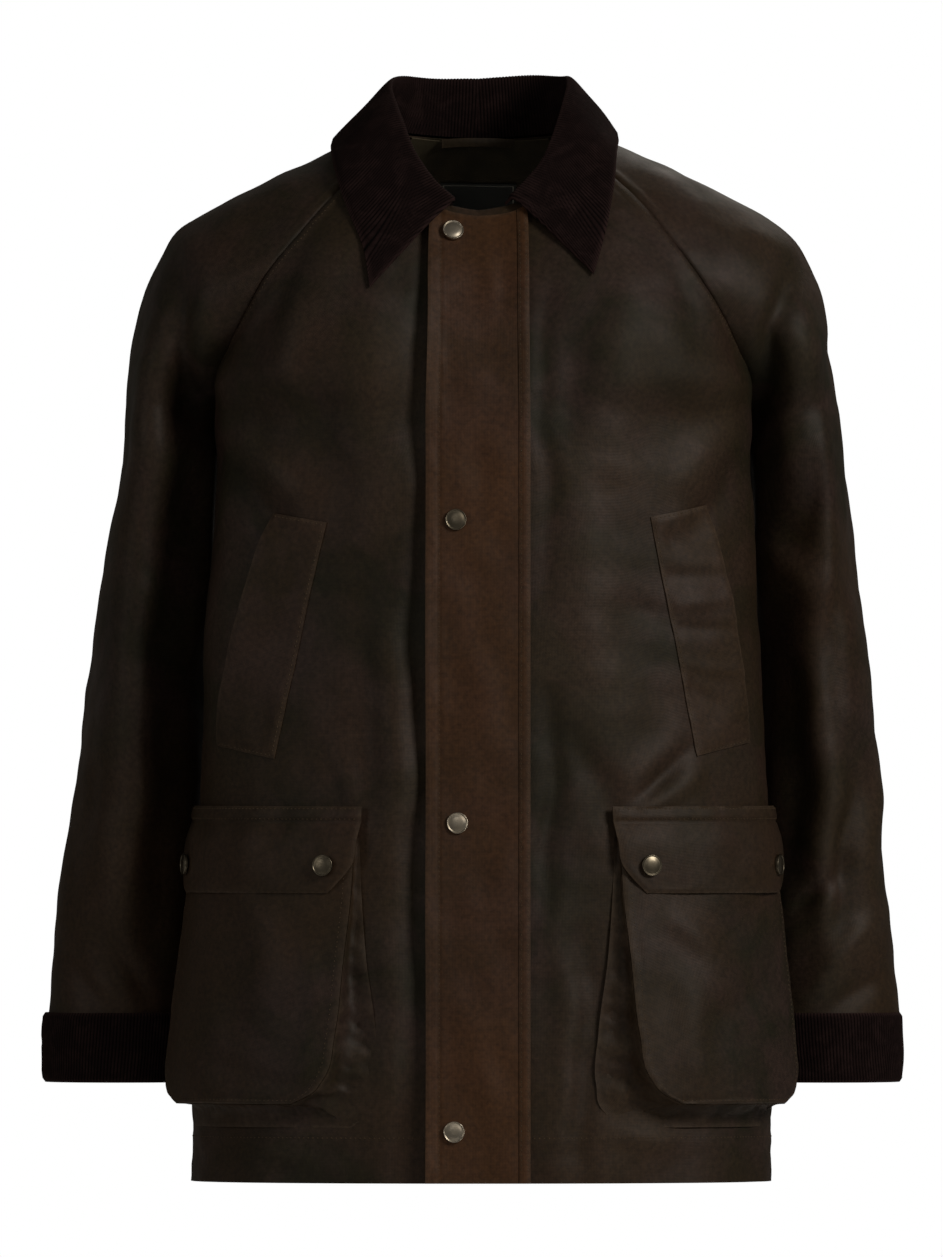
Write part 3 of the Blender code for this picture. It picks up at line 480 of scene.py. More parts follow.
def shell(name, net, outs, lift, wall, finish, wear=None, rib=None):
    """A piece of cloth as a thin closed shell: its face and its back, a wall apart, joined round the edge."""
    rows, columns = net.shape[:2]
    lift = np.broadcast_to(lift, (rows, columns))[..., None]
    points = np.concatenate([(net + outs * (lift + wall)).reshape(-1, 3), (net + outs * lift).reshape(-1, 3)])
    index = np.arange(rows * columns).reshape(rows, columns)
    corners = (index[:-1, :-1], index[:-1, 1:], index[1:, 1:], index[1:, :-1])
    face = np.stack(corners, axis=-1).reshape(-1, 4)
    ring = np.concatenate((index[0, :-1], index[:-1, -1], index[-1, :0:-1], index[:0:-1, 0]))
    after = np.roll(ring, -1)
    behind = rows * columns
    rim = np.stack((after, ring, ring + behind, after + behind), axis=-1)
    faces = np.concatenate((face, face[:, ::-1] + behind, rim))
    side = np.cross(points[face[:, 1]] - points[face[:, 0]], points[face[:, 3]] - points[face[:, 0]])
    if (side * outs.reshape(-1, 3)[face[:, 0]]).sum() < 0:
        faces = faces[:, ::-1]
    mesh = bpy.data.meshes.new(name)
    mesh.from_pydata(points.tolist(), [], faces.tolist())
    u, v = run_along(net, 1), run_along(net, 0)
    flat = np.tile(np.stack((u - u[:, -1:] / 2, v), axis=-1).reshape(-1, 2), (2, 1))
    corner = np.zeros(len(mesh.loops), dtype=np.int32)
    mesh.loops.foreach_get("vertex_index", corner)
    mesh.uv_layers.new(name="cloth").data.foreach_set("uv", flat[corner].ravel().astype(np.float32))
    if wear is None:
        wear = np.exp(-from_edge(net) / 0.003)
    for label, values in (("wear", wear), ("rib", rib)):
        if values is not None:
            kept = mesh.attributes.new(label, "FLOAT", "POINT")
            kept.data.foreach_set("value", np.tile(np.asarray(values).ravel(), 2).astype(np.float32))
    mesh.shade_smooth()
    mesh.set_sharp_from_angle(angle=SHARP_ANGLE)
    mesh.materials.append(finish)
    return put(name, mesh)


def declare(piece, node):
    """Parents the piece to the root and hides the node's own part from model.glb, which the piece stands in
    for.
    """
    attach(piece, "root")
    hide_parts(node)


def waxed_cotton(name, plum, olive, brown, roughness=0.54):
    """Densely woven cotton soaked in wax: dark, blotched where the wax has moved, with a low satin shine,
    a lighter colour that is a bloom of dry wax along edges and seams and painted highlight on the ridges of
    folds, and a fine crumple that the stiff cloth keeps."""
    made, tree, shader = new_finish(name)
    place = add(tree, "ShaderNodeTexCoord")
    blotch = add(tree, "ShaderNodeTexNoise", {
        "Vector": place.outputs["Object"], "Scale": 1000 / PATCH_MM, "Detail": 5.0, "Roughness": 0.60,
        "Distortion": 0.6})
    cloud = add(tree, "ShaderNodeTexNoise", {
        "Vector": place.outputs["Object"], "Scale": 1000 / CLOUD_MM, "Detail": 2.0, "Distortion": 0.3})
    speck = add(tree, "ShaderNodeTexNoise", {
        "Vector": place.outputs["Object"], "Scale": 1000 / SPECK_MM, "Detail": 2.0})
    blotched = add(tree, "ShaderNodeMapRange", {
        "Value": blotch.outputs["Fac"], "From Min": 0.40, "From Max": 0.62})
    clouded = add(tree, "ShaderNodeMapRange", {
        "Value": cloud.outputs["Fac"], "From Min": 0.42, "From Max": 0.64, "To Max": 0.75})
    ground = add(tree, "ShaderNodeMix", {
        0: blotched.outputs[0], 6: linear(olive), 7: linear(plum)}, data_type="RGBA")
    browned = add(tree, "ShaderNodeMix", {
        0: clouded.outputs[0], 6: ground.outputs[2], 7: linear(brown)}, data_type="RGBA")
    worn = add(tree, "ShaderNodeAttribute", attribute_name="wear")
    # wear marks worn edges and seams, and on the folds' ridges it carries a painted highlight
    bloom_and_sheen_share = add(tree, "ShaderNodeMath", {0: worn.outputs["Fac"], 1: 0.40}, operation="MULTIPLY")
    bloom_and_sheen_mix = add(tree, "ShaderNodeMix", {
        0: bloom_and_sheen_share.outputs[0], 6: browned.outputs[2], 7: linear(BLOOM_AND_SHEEN)}, data_type="RGBA")
    grain = add(tree, "ShaderNodeMapRange", {
        "Value": speck.outputs["Fac"], "From Min": 0.25, "From Max": 0.75, "To Min": 0.68, "To Max": 1.30})
    cloth = add(tree, "ShaderNodeVectorMath", {
        0: bloom_and_sheen_mix.outputs[2], "Scale": grain.outputs[0]}, operation="SCALE")
    warp = add(tree, "ShaderNodeTexWave", {
        "Vector": place.outputs["UV"], "Scale": WAVE_MM / THREAD_MM}, bands_direction="X")
    weft = add(tree, "ShaderNodeTexWave", {
        "Vector": place.outputs["UV"], "Scale": WAVE_MM / THREAD_MM}, bands_direction="Y")
    weave = add(tree, "ShaderNodeMath", {
        0: warp.outputs["Fac"], 1: weft.outputs["Fac"]}, operation="MULTIPLY")
    crumple = add(tree, "ShaderNodeTexNoise", {
        "Vector": place.outputs["Object"], "Scale": 1000 / CRUMPLE_MM, "Detail": 3.0, "Roughness": 0.45})
    woven = add(tree, "ShaderNodeBump", {
        "Height": weave.outputs[0], "Strength": 0.35, "Distance": 0.00025})
    creased = add(tree, "ShaderNodeBump", {
        "Height": crumple.outputs["Fac"], "Strength": 0.30, "Distance": 0.0030,
        "Normal": woven.outputs[0]})
    shine = add(tree, "ShaderNodeMapRange", {
        "Value": blotch.outputs["Fac"], "From Min": 0.3, "From Max": 0.7,
        "To Min": roughness + 0.08, "To Max": roughness - 0.06})
    tree.links.new(cloth.outputs[0], shader.inputs["Base Color"])
    tree.links.new(creased.outputs[0], shader.inputs["Normal"])
    tree.links.new(shine.outputs[0], shader.inputs["Roughness"])
    shader.inputs["IOR"].default_value = WAXED_IOR
    shader.inputs["Specular IOR Level"].default_value = 0.34
    return made


waxed = waxed_cotton("waxed_cotton_olive", PLUM, OLIVE, BROWN)
creased = {}


def crease(net, outs, name, sides, hem=False):
    """Moves a panel's net by its folds and dents, which die away at its seams, and works its edges: felled
    seams stand up beside a sharp line, and a turned hem is a little thicker."""
    seam_far = from_edge(net, sides)
    folds = folded(net, FOLDS[name]) + waves(net, 0.085, 0.0011, 3) + waves(net, 0.034, 0.00042, 5)
    loose = ramp(seam_far, *SEAM_SOFT)
    ridge = FELL_HIGH * (1 - ramp(seam_far, *FELL_EDGE)) - SEAM_DEEP * near(seam_far, SEAM_WIDE)
    pucker = waves(net, 0.011, 0.00028, 9) * near(seam_far - 0.006, 0.006)
    move = folds * loose + ridge + pucker
    if hem:
        low = net[..., 2] - net[0, :, 2]
        move += HEM_HIGH * (1 - ramp(low, *HEM_EDGE))
        move += waves(net, 0.016, 0.0003, 4) * (1 - ramp(low, 0.03, 0.045))
    # Lighter along the felled seam's edge, which is wear, and on the folds' ridges, which is painted
    # highlight.
    wear = 0.3 * near(seam_far - 0.0065, 0.002) + np.clip(folds / 0.009, 0, 0.35) * loose
    return net + outs * move[..., None], wear


body_levels = np.concatenate((np.linspace(HEM, UNDERARM, BODY_ROWS + 1), np.linspace(
    UNDERARM, NECK, YOKE_ROWS + 1)[1:]))
sleeve_levels = np.concatenate((np.linspace(CUFF_TOP - 0.004, UNDERARM, ARM_ROWS + 1),
                                body_levels[BODY_ROWS + 1:]))
nets, outs = {}, {}
front_places = seamed(FRONT_COLUMNS, ROW_LENGTH)
half_places = seamed(SLEEVE_COLUMNS, HALF_SLEEVE)
for side in SIDES:
    key = "front_" + side[0]
    nets[key] = np.array([evenly(body_row(FRONT, side, level), front_places) for level in body_levels])
    axis = np.stack((0 * body_levels, 0 * body_levels, nets[key][:, 0, 2]), axis=-1)
    outs[key] = directions(nets[key], axis)
    key = "sleeve_" + side[0]
    halves = [sleeve_row(side, level) for level in sleeve_levels]
    nets[key] = np.array([np.vstack((evenly(front, 1 - half_places[::-1]), evenly(back, half_places)[1:]))
                          for front, back in halves])
    outs[key] = directions(nets[key], nets[key].mean(axis=1))
back_places = seamed(BACK_COLUMNS, ROW_LENGTH)
right, left = (np.array([evenly(body_row(BACK, side, level), back_places) for level in body_levels])
               for side in SIDES)
nets["back"] = np.concatenate((right[:, ::-1], left[:, 1:]), axis=1)
outs["back"] = directions(nets["back"], np.stack((0 * body_levels, 0 * body_levels, right[:, 0, 2]), axis=-1))
for name, edge in (("right", 0), ("left", -1)):
    front, back, sleeve = outs["front_" + name], outs["back"], outs["sleeve_" + name]
    share_direction(front[:BODY_ROWS, -1], back[:BODY_ROWS, edge])
    share_direction(front[BODY_ROWS + 1:, -1], sleeve[ARM_ROWS + 1:, 0])
    share_direction(back[BODY_ROWS + 1:, edge], sleeve[ARM_ROWS + 1:, -1])
    share_direction(sleeve[:ARM_ROWS, 0], sleeve[:ARM_ROWS, -1])
    for direction in (front[BODY_ROWS, -1], back[BODY_ROWS, edge], sleeve[ARM_ROWS, 0], sleeve[ARM_ROWS, -1]):
        direction[...] = (0.0, 0.0, -1.0)

for key in ("front_right", "front_left", "back", "sleeve_right", "sleeve_left"):
    sides = ("last", "high") if key.startswith("front") else ("first", "last", "high")
    net, wear = crease(nets[key], outs[key], key, sides, hem=not key.startswith("sleeve"))
    if key.startswith("sleeve"):
        behind, wear_behind = crease(nets[key], outs[key], key + "_behind", sides)
        outer = SLEEVE_COLUMNS + 3
        share = ramp(np.arange(net.shape[1]), outer - 6, outer + 6)[None, :, None]
        net = (1 - share) * net + share * behind
        wear = (1 - share[..., 0]) * wear + share[..., 0] * wear_behind
    creased[key] = net
    piece = shell("cloth_" + key, net, outs[key], 0.0, WALL, waxed, wear=wear)
    declare(piece, key)

# ---------------------------------------------------------------------------------------------------------
# The stitching: polyester thread, lockstitched through the felled seams and the hem, a shade lighter than
# the cloth. Each stitch is a short thread that dips into the cloth at both ends.
STITCH_PITCH = 0.0036
STITCH_LONG = 0.0027
STITCH_WIDE = 0.00046
STITCH_HIGH = 0.00042
THREAD, THREAD_SHADE = "#665237", "#382c1f"
TWIST_MM = 2.0

thread, tree, shader = new_finish("waxed_polyester_thread")
place = add(tree, "ShaderNodeTexCoord")
twist = add(tree, "ShaderNodeTexNoise", {"Vector": place.outputs["Object"], "Scale": 1000 / TWIST_MM})
twisted = add(tree, "ShaderNodeMix", {
    0: twist.outputs["Fac"], 6: linear(THREAD_SHADE), 7: linear(THREAD)}, data_type="RGBA")
tree.links.new(twisted.outputs[2], shader.inputs["Base Color"])
shader.inputs["Roughness"].default_value = 0.55


def stitches(name, lines):
    """Stitches along lines of points with their directions out of the cloth, joined as one piece."""
    points, faces = [], []
    for line, out in lines:
        lengths = lengths_of(line)
        count = int(lengths[-1] / STITCH_PITCH)
        starts = (np.arange(count) + 0.1) * STITCH_PITCH
        ends, middles = ([np.interp(starts + far, lengths, line[:, axis]) for axis in range(3)]
                         for far in (STITCH_LONG, STITCH_LONG / 2))
        start = np.stack([np.interp(starts, lengths, line[:, axis]) for axis in range(3)], axis=-1)
        end, middle = np.stack(ends, axis=-1), np.stack(middles, axis=-1)
        up = np.stack([np.interp(starts, lengths, out[:, axis]) for axis in range(3)], axis=-1)
        aside = np.cross(end - start, up)
        aside = STITCH_WIDE * unit(aside)
        high = STITCH_HIGH * up
        first = sum(len(part) for part in points)
        points.append(np.stack((start - high / 2, end - high / 2, middle + aside, middle + high,
                                middle - aside, middle - high / 2), axis=1).reshape(-1, 3))
        for one in (first + 6 * np.arange(count)):
            for a, b in ((2, 3), (3, 4), (4, 5), (5, 2)):
                faces.append((one, one + b, one + a))
                faces.append((one + 1, one + a, one + b))
    mesh = bpy.data.meshes.new(name)
    mesh.from_pydata(np.concatenate(points).tolist(), [], [tuple(int(i) for i in face) for face in faces])
    mesh.shade_smooth()
    mesh.materials.append(thread)
    piece = put(name, mesh)
    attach(piece, "root")


def beside(key, edge, far, rows):
    """A line on a panel's face, a given way in from one of its side edges."""
    net, out = creased[key], outs[key]
    line, up = [], []
    for row in rows:
        lengths = lengths_of(net[row])
        at = far if edge == "first" else lengths[-1] - far
        face = net[row] + out[row] * WALL
        line.append([np.interp(at, lengths, face[:, axis]) for axis in range(3)])
        up.append([np.interp(at, lengths, out[row, :, axis]) for axis in range(3)])
    return np.array(line), np.array(up)


yoke = range(BODY_ROWS + 2, BODY_ROWS + YOKE_ROWS + 1)
seams = [beside(key, edge, 0.0060, yoke) for key, edge in (
    ("front_right", "last"), ("front_left", "last"), ("back", "first"), ("back", "last"))]
hem_row = int(round(0.034 / (UNDERARM - HEM) * BODY_ROWS))
for key in ("front_right", "front_left", "back"):
    net, out = creased[key], outs[key]
    seams.append((net[hem_row] + out[hem_row] * WALL, out[hem_row]))
stitches("stitching_shell", seams)

# ---------------------------------------------------------------------------------------------------------
# The cuffs: bands of corduroy turned back over the sleeve ends, a little wider than the sleeve, with the
# wales upright and a soft crease pressed round the middle.
CORD_WALL = 0.0022
WALE = 0.0024  # an estimate puts the real ones 2.0 to 2.3 mm apart, so these are a little coarse
CORD_SKIN = CORD_WALL - 0.0004  # the ribs stand out over the rest
PILE_MM, NAP_MM = 1.3, 16.0
WALE_HIGH = 0.00060
CUFF_COLUMNS, CUFF_ROWS = 500, 18
CUFF = (
    ("level", "right_x", "left_x", "outer_y", "inner_right", "inner_left", "reach"),
    (-0.6900, 0.3205, 0.3120, 0.057, 0.2115, 0.2055, 0.078),
    (-0.6650, 0.3210, 0.3125, 0.055, 0.2100, 0.2045, 0.079),
    (-0.6385, 0.3205, 0.3120, 0.053, 0.2080, 0.2025, 0.079),
)


def corduroy(name, valley_shade, lit_crest, rubbed):
    """Cotton velvet cut in ribs: a deep, dry pile, lighter where it is rubbed, with painted light along the
    ribs' crests, painted shade in the valleys, and a soft edge light."""
    made, tree, shader = new_finish(name)
    place = add(tree, "ShaderNodeTexCoord")
    # The rib attribute is 1 on the wales' crests and 0 in their valleys: it paints light on the crests and
    # shade in the valleys.
    rib = add(tree, "ShaderNodeAttribute", attribute_name="rib")
    worn = add(tree, "ShaderNodeAttribute", attribute_name="wear")
    pile = add(tree, "ShaderNodeTexNoise", {
        "Vector": place.outputs["Object"], "Scale": 1000 / PILE_MM, "Detail": 3.0, "Roughness": 0.7})
    nap = add(tree, "ShaderNodeTexNoise", {
        "Vector": place.outputs["Object"], "Scale": 1000 / NAP_MM, "Detail": 3.0, "Distortion": 1.0})
    tuft = add(tree, "ShaderNodeMapRange", {"Value": pile.outputs["Fac"], "To Min": 0.55, "To Max": 1.15})
    tufted = add(tree, "ShaderNodeMath", {0: rib.outputs["Fac"], 1: tuft.outputs[0]}, operation="MULTIPLY")
    shaded = add(tree, "ShaderNodeMapRange", {
        "Value": tufted.outputs[0], "From Min": 0.30, "From Max": 0.92})
    ribbed = add(tree, "ShaderNodeMix", {
        0: shaded.outputs[0], 6: linear(valley_shade), 7: linear(lit_crest)}, data_type="RGBA")
    brushed = add(tree, "ShaderNodeMapRange", {
        "Value": nap.outputs["Fac"], "From Min": 0.45, "From Max": 0.72, "To Max": 0.40})
    rub = add(tree, "ShaderNodeMath", {
        0: worn.outputs["Fac"], 1: brushed.outputs[0]}, operation="MAXIMUM")
    rubbed_off = add(tree, "ShaderNodeMath", {0: rub.outputs[0], 1: shaded.outputs[0]}, operation="MULTIPLY")
    finished = add(tree, "ShaderNodeMix", {
        0: rubbed_off.outputs[0], 6: ribbed.outputs[2], 7: linear(rubbed)}, data_type="RGBA")
    fuzz = add(tree, "ShaderNodeBump", {
        "Height": pile.outputs["Fac"], "Strength": 0.6, "Distance": 0.0006})
    tree.links.new(finished.outputs[2], shader.inputs["Base Color"])
    tree.links.new(fuzz.outputs[0], shader.inputs["Normal"])
    shader.inputs["Roughness"].default_value = 0.92
    shader.inputs["Specular IOR Level"].default_value = 0.10
    shader.inputs["Sheen Weight"].default_value = 0.05
    shader.inputs["Sheen Roughness"].default_value = 0.45
    shader.inputs["Sheen Tint"].default_value = linear("#7c5a58")
    return made


# The colours: painted shade for the valleys between the wales, painted light for their crests, and the rubbed
# pile.
cord = corduroy("cotton_corduroy_aubergine", "#030202", "#241818", "#42302f")


def wales(phase, fade):
    """Round-backed ribs with narrow valleys between them, from a distance measured across them: their height,
    and a share that is 1 on the crests and paints light there and shade in the valleys.
    """
    turn = np.abs(np.sin(math.pi * phase / WALE))
    rib = np.sqrt(turn)
    return WALE_HIGH * rib * fade, rib


for side in SIDES:
    name, sign = side
    rows = []
    for level in np.linspace(CUFF_BOTTOM, CUFF_TOP, CUFF_ROWS + 1):
        y = read(CUFF, "outer_y", level)
        outer = np.array([sign * read(CUFF, name + "_x", level), y, level])
        inner = np.array([sign * read(CUFF, "inner_" + name, level), y, level])
        reach = np.array([0.0, read(CUFF, "reach", level), 0.0])
        front = bezier((inner, inner - reach, outer - reach, outer), spread(FINE))
        back = bezier((outer, outer + reach, inner + reach, inner), spread(FINE))
        rows.append(evenly(np.vstack((front, back[1:])), spread(2 * CUFF_COLUMNS)))
    net = np.array(rows)
    out = directions(net, net.mean(axis=1))
    share_direction(out[:, 0], out[:, -1])
    edge = from_edge(net, ("low", "high"))
    middle = near(net[..., 2] - (CUFF_BOTTOM + CUFF_TOP) / 2 - 0.004, 0.0022)
    round_edge = -0.0012 * near(edge, 0.0012)
    shape = round_edge - 0.0007 * middle * ramp(waves(net, 0.06, 1.0, 12), -0.6, 0.6)
    shape += waves(net, 0.045, 0.0008, 14) * ramp(edge, 0.0, 0.01)
    # The second value paints light on the wales' crests and shade in their valleys.
    rib, lit_crest = wales(run_along(net, 1) + waves(net, 0.05, 0.00018, 15), ramp(edge, 0.0, 0.002))
    net_now = net + out * (shape + rib)[..., None]
    wear = 0.7 * np.exp(-edge / 0.0012)
    piece = shell("corduroy_cuff_" + name, net_now, out, 0.0, CORD_SKIN, cord, wear=wear, rib=lit_crest)
    declare(piece, "cuff_" + name)

# ---------------------------------------------------------------------------------------------------------
# The collar: corduroy with its wales running up it, sewn to the neck seam on a low stand, and turned down
# over its fold to two pointed leaves.
NECK_END = 0.93
FOOT_LIFT = 0.0019
ROLL, ROLL_SHARE = 0.0055, 0.45
FALL_BELLY = 0.0040
COLLAR_COLUMNS = 640
STAND_ROWS, FALL_ROWS = 9, 24
COLLAR_RIGHT = (
    ("along", "fold_x", "fold_y", "fold_z", "edge_x", "edge_y", "edge_z"),
    (0.00, 0.0000, 0.066, 0.0530, 0.0000, 0.106, -0.004),
    (0.17, 0.0340, 0.060, 0.0545, 0.0500, 0.096, -0.002),
    (0.34, 0.0575, 0.036, 0.0545, 0.0900, 0.062, 0.004),
    (0.50, 0.0650, 0.003, 0.0490, 0.1095, 0.005, 0.005),
    (0.64, 0.0615, -0.028, 0.0340, 0.1080, -0.050, -0.009),
    (0.78, 0.0530, -0.056, 0.0100, 0.0980, -0.092, -0.041),
    (0.90, 0.0380, -0.083, -0.0165, 0.0845, -0.121, -0.074),
    (1.00, 0.0180, -0.101, -0.0380, 0.0800, -0.138, -0.1015),
)
COLLAR_LEFT = (
    ("along", "fold_x", "fold_y", "fold_z", "edge_x", "edge_y", "edge_z"),
    (0.00, 0.0000, 0.066, 0.0530, 0.0000, 0.106, -0.004),
    (0.17, 0.0350, 0.060, 0.0550, 0.0500, 0.096, -0.002),
    (0.34, 0.0600, 0.036, 0.0555, 0.0900, 0.062, 0.004),
    (0.50, 0.0680, 0.003, 0.0510, 0.1040, 0.005, 0.010),
    (0.64, 0.0630, -0.028, 0.0350, 0.1030, -0.050, -0.003),
    (0.78, 0.0550, -0.056, 0.0080, 0.0995, -0.088, -0.033),
    (0.90, 0.0430, -0.080, -0.0150, 0.0935, -0.115, -0.062),
    (1.00, 0.0255, -0.098, -0.0360, 0.0850, -0.135, -0.092),
)


def collar_column(side, along, neckline):
    """The collar's section: up the stand from the neck seam, over the fold and down to the outer edge."""
    table = COLLAR_RIGHT if side[0] == "right" else COLLAR_LEFT
    mirror = np.array([side[1], 1, 1])
    foot = evenly(neckline, [along * NECK_END])[0]
    foot[2] += FOOT_LIFT * (1 + along)
    fold = mirror * [read(table, "fold_" + axis, along) for axis in "xyz"]
    edge = mirror * [read(table, "edge_" + axis, along) for axis in "xyz"]
    leaf = edge - fold
    outward = unit(leaf * (1, 1, 0.25))
    rise = fold - foot
    roll = min(ROLL, ROLL_SHARE * np.linalg.norm(rise))
    stand = (foot, foot + rise / 2, fold - roll * outward, fold)
    fall = (fold, fold + roll * outward, edge - leaf / 2 + FALL_BELLY * outward, edge)
    return np.vstack([bezier(stand, spread(STAND_ROWS)), bezier(fall, spread(FALL_ROWS) ** 1.15)[1:]])


columns = []
for side in SIDES:
    front, rear = sleeve_row(side, NECK)
    neckline = np.vstack((body_row(BACK, side, NECK), rear[::-1], front[::-1],
                          body_row(FRONT, side, NECK)[::-1]))
    columns.append([collar_column(side, along, neckline) for along in spread(COLLAR_COLUMNS)])
net = np.array(columns[0][::-1] + columns[1][1:]).transpose(1, 0, 2)
fold_line = net[STAND_ROWS]
run = lengths_of(fold_line)
heading = unit(np.gradient(fold_line, axis=0))
phase = run[None, :] + ((net - fold_line[None]) * heading[None]).sum(axis=2)
facing = unit(np.cross(np.gradient(net, axis=1), np.gradient(net, axis=0)))
top = facing[STAND_ROWS, COLLAR_COLUMNS]
facing = facing * (1 if top[2] > 0 else -1)
edge = from_edge(net, ("first", "last", "high"))
# The second value paints light on the wales' crests and shade in their valleys.
rib, lit_crest = wales(phase + waves(net, 0.05, 0.00022, 21), ramp(edge, 0.0, 0.002))
shape = waves(net, 0.05, 0.0007, 22) - 0.0012 * near(edge, 0.0013)
net_now = net + facing * (shape + rib)[..., None]
rubbed_fold = 0.45 * near(np.arange(net.shape[0])[:, None] - STAND_ROWS, 2.5) * np.ones_like(edge)
wear = np.maximum(0.8 * np.exp(-edge / 0.0014), rubbed_fold)
piece = shell("corduroy_collar", net_now, facing, -CORD_SKIN, CORD_SKIN, cord,
              wear=wear, rib=lit_crest)
declare(piece, "collar")

# ---------------------------------------------------------------------------------------------------------
# The storm flap: two layers of a browner waxed cotton that close over the front opening. A narrow band with
# two rows of stitches holds its left edge, and its right edge stands free, fastened by four snaps.
FLAP_HALF = 0.0380
FLAP_WALL = 0.0020
FLAP_BAND = 0.0085
FLAP_LIFT = 0.0021
FLAP_EDGE_LIFT = 0.0045
FLAP_TOP = 0.80
FLAP_COLUMNS, BAND_COLUMNS = 42, 9
BAND_RISE, BAND_SUNK = 0.0009, 0.0006
FLAP_STITCH = 0.0090

flap_cotton = waxed_cotton("waxed_cotton_tan", "#4a3122", "#402a17", "#55361c", roughness=0.58)
FOLDS["storm_flap"] = (
    (0.010, -0.190, -0.006, -0.260, 0.010, -0.0012),
    (-0.010, -0.330, 0.012, -0.470, 0.013, 0.0012),
    (0.020, -0.480, 0.004, -0.560, 0.009, -0.0012),
    (-0.020, -0.620, 0.022, -0.580, 0.008, -0.0013),
    (0.012, -0.070, 0.020, -0.130, 0.007, -0.0010),
    (0.000, -0.090, 0.012, -0.105, 0.005, 0.0008),
    (-0.004, -0.640, 0.014, -0.720, 0.010, 0.0011),
)


def across_front(grids, xs):
    """The fronts' points or directions, read across both at signed ways from the middle."""
    rows = []
    for right, left, right_line, left_line in zip(
            grids["front_right"], grids["front_left"], nets["front_right"], nets["front_left"]):
        line = np.concatenate((right[:0:-1], left))
        at = np.concatenate((-lengths_of(right_line)[:0:-1], lengths_of(left_line)))
        rows.append([np.interp(xs, at, line[:, axis]) for axis in range(3)])
    return np.array(rows).transpose(0, 2, 1)


def middle_net(xs):
    """A net over the front opening, free of the fronts' folds, and its directions out."""
    net = across_front(nets, xs)
    net[-1] = FLAP_TOP * net[-1] + (1 - FLAP_TOP) * net[-2]
    return net[:-top_rows], unit(across_front(outs, xs))[:-top_rows]


top_rows = max(2, int(round(0.0055 / (NECK - UNDERARM) * YOKE_ROWS)))
xs = np.linspace(-FLAP_HALF, FLAP_HALF - FLAP_BAND - 0.0004, FLAP_COLUMNS + 1)
net, out = middle_net(xs)
free = np.exp(-(xs + FLAP_HALF) / 0.010)[None, :]
stitched = near(xs + FLAP_HALF - FLAP_STITCH, 0.0012)[None, :]
lift = WALL + FLAP_LIFT + FLAP_EDGE_LIFT * free * (1 + 0.35 * np.sin(net[..., 2] * 31))
shape = folded(net, FOLDS["storm_flap"]) + waves(net, 0.040, 0.0005, 31) - 0.0009 * stitched
shape += waves(net, 0.012, 0.00022, 32) * near(xs + FLAP_HALF - FLAP_STITCH, 0.006)[None, :]
edge = from_edge(net, ("first", "low", "high"))
shape -= 0.0010 * near(edge, 0.0010)
flap_net = net + out * shape[..., None]
wear = 0.7 * np.exp(-edge / 0.0018) + 0.35 * stitched
piece = shell("cloth_storm_flap", flap_net, out, lift, FLAP_WALL, flap_cotton, wear=wear)
declare(piece, "storm_flap")
face = flap_net + out * (lift + FLAP_WALL)[..., None]
at = int(np.argmin(np.abs(xs + FLAP_HALF - FLAP_STITCH)))
flap_lines = [(face[2:-2, at], out[2:-2, at])]

xs = np.linspace(FLAP_HALF - FLAP_BAND, FLAP_HALF, BAND_COLUMNS + 1)
net, out = middle_net(xs)
far = xs - xs[0]
grooves = near(far - 0.0015, 0.0008) + near(FLAP_BAND - far - 0.0015, 0.0008)
puckers = waves(net * (0.3, 0.3, 1), 0.006, 0.00028, 33) * (0.6 + 0.8 * ramp(net[..., 2], -0.22, -0.06))
shape = puckers - 0.0005 * grooves[None, :]
edge = from_edge(net, ("first", "last"))
shape -= 0.0009 * near(edge, 0.0008)
net_now = net + out * shape[..., None]
band_lift, band_wall = WALL + FLAP_LIFT - BAND_SUNK, FLAP_WALL + BAND_RISE
piece = shell("cloth_flap_band", net_now, out, band_lift, band_wall, flap_cotton,
              wear=0.5 * np.exp(-edge / 0.0012) + 0.25 * grooves[None, :])
declare(piece, "flap_band")
face = net_now + out * (band_lift + band_wall)
flap_lines += [(face[2:-2, column], out[2:-2, column]) for column in (2, BAND_COLUMNS - 2)]
stitches("stitching_storm_flap", flap_lines)

# ---------------------------------------------------------------------------------------------------------
# The hand pockets: slanted patches of the browner cloth, sewn down on three sides and open along the outer
# one, which gapes a little. Short creases pull across the wearer's left one.
PATCH_LIFT = 0.0006
WELTS = (
    ("side", "top_inner_x", "top_inner_z", "top_outer_x", "top_outer_z",
     "low_inner_x", "low_inner_z", "low_outer_x", "low_outer_z"),
    ("right", 0.1120, -0.276, 0.1515, -0.269, 0.1495, -0.450, 0.1880, -0.441),
    ("left", 0.1260, -0.272, 0.1690, -0.263, 0.1600, -0.448, 0.1980, -0.438),
)
WELT_MOUTH = {"right": 0.0110, "left": 0.0065}
WELT_ROWS, WELT_COLUMNS = 90, 22
welt_cotton = waxed_cotton("waxed_cotton_brown", "#3d2d25", "#322618", "#42301f", roughness=0.56)
FOLDS["hand_pocket_right"] = (
    (-0.150, -0.380, -0.146, -0.440, 0.010, 0.0012),
)
FOLDS["hand_pocket_left"] = (
    (0.130, -0.315, 0.180, -0.312, 0.0060, -0.0018),
    (0.140, -0.337, 0.186, -0.328, 0.0060, 0.0016),
    (0.142, -0.352, 0.190, -0.352, 0.0050, -0.0016),
    (0.150, -0.378, 0.192, -0.384, 0.0055, 0.0014),
    (0.148, -0.392, 0.176, -0.410, 0.0055, -0.0014),
    (0.136, -0.280, 0.142, -0.296, 0.0040, -0.0014),
)


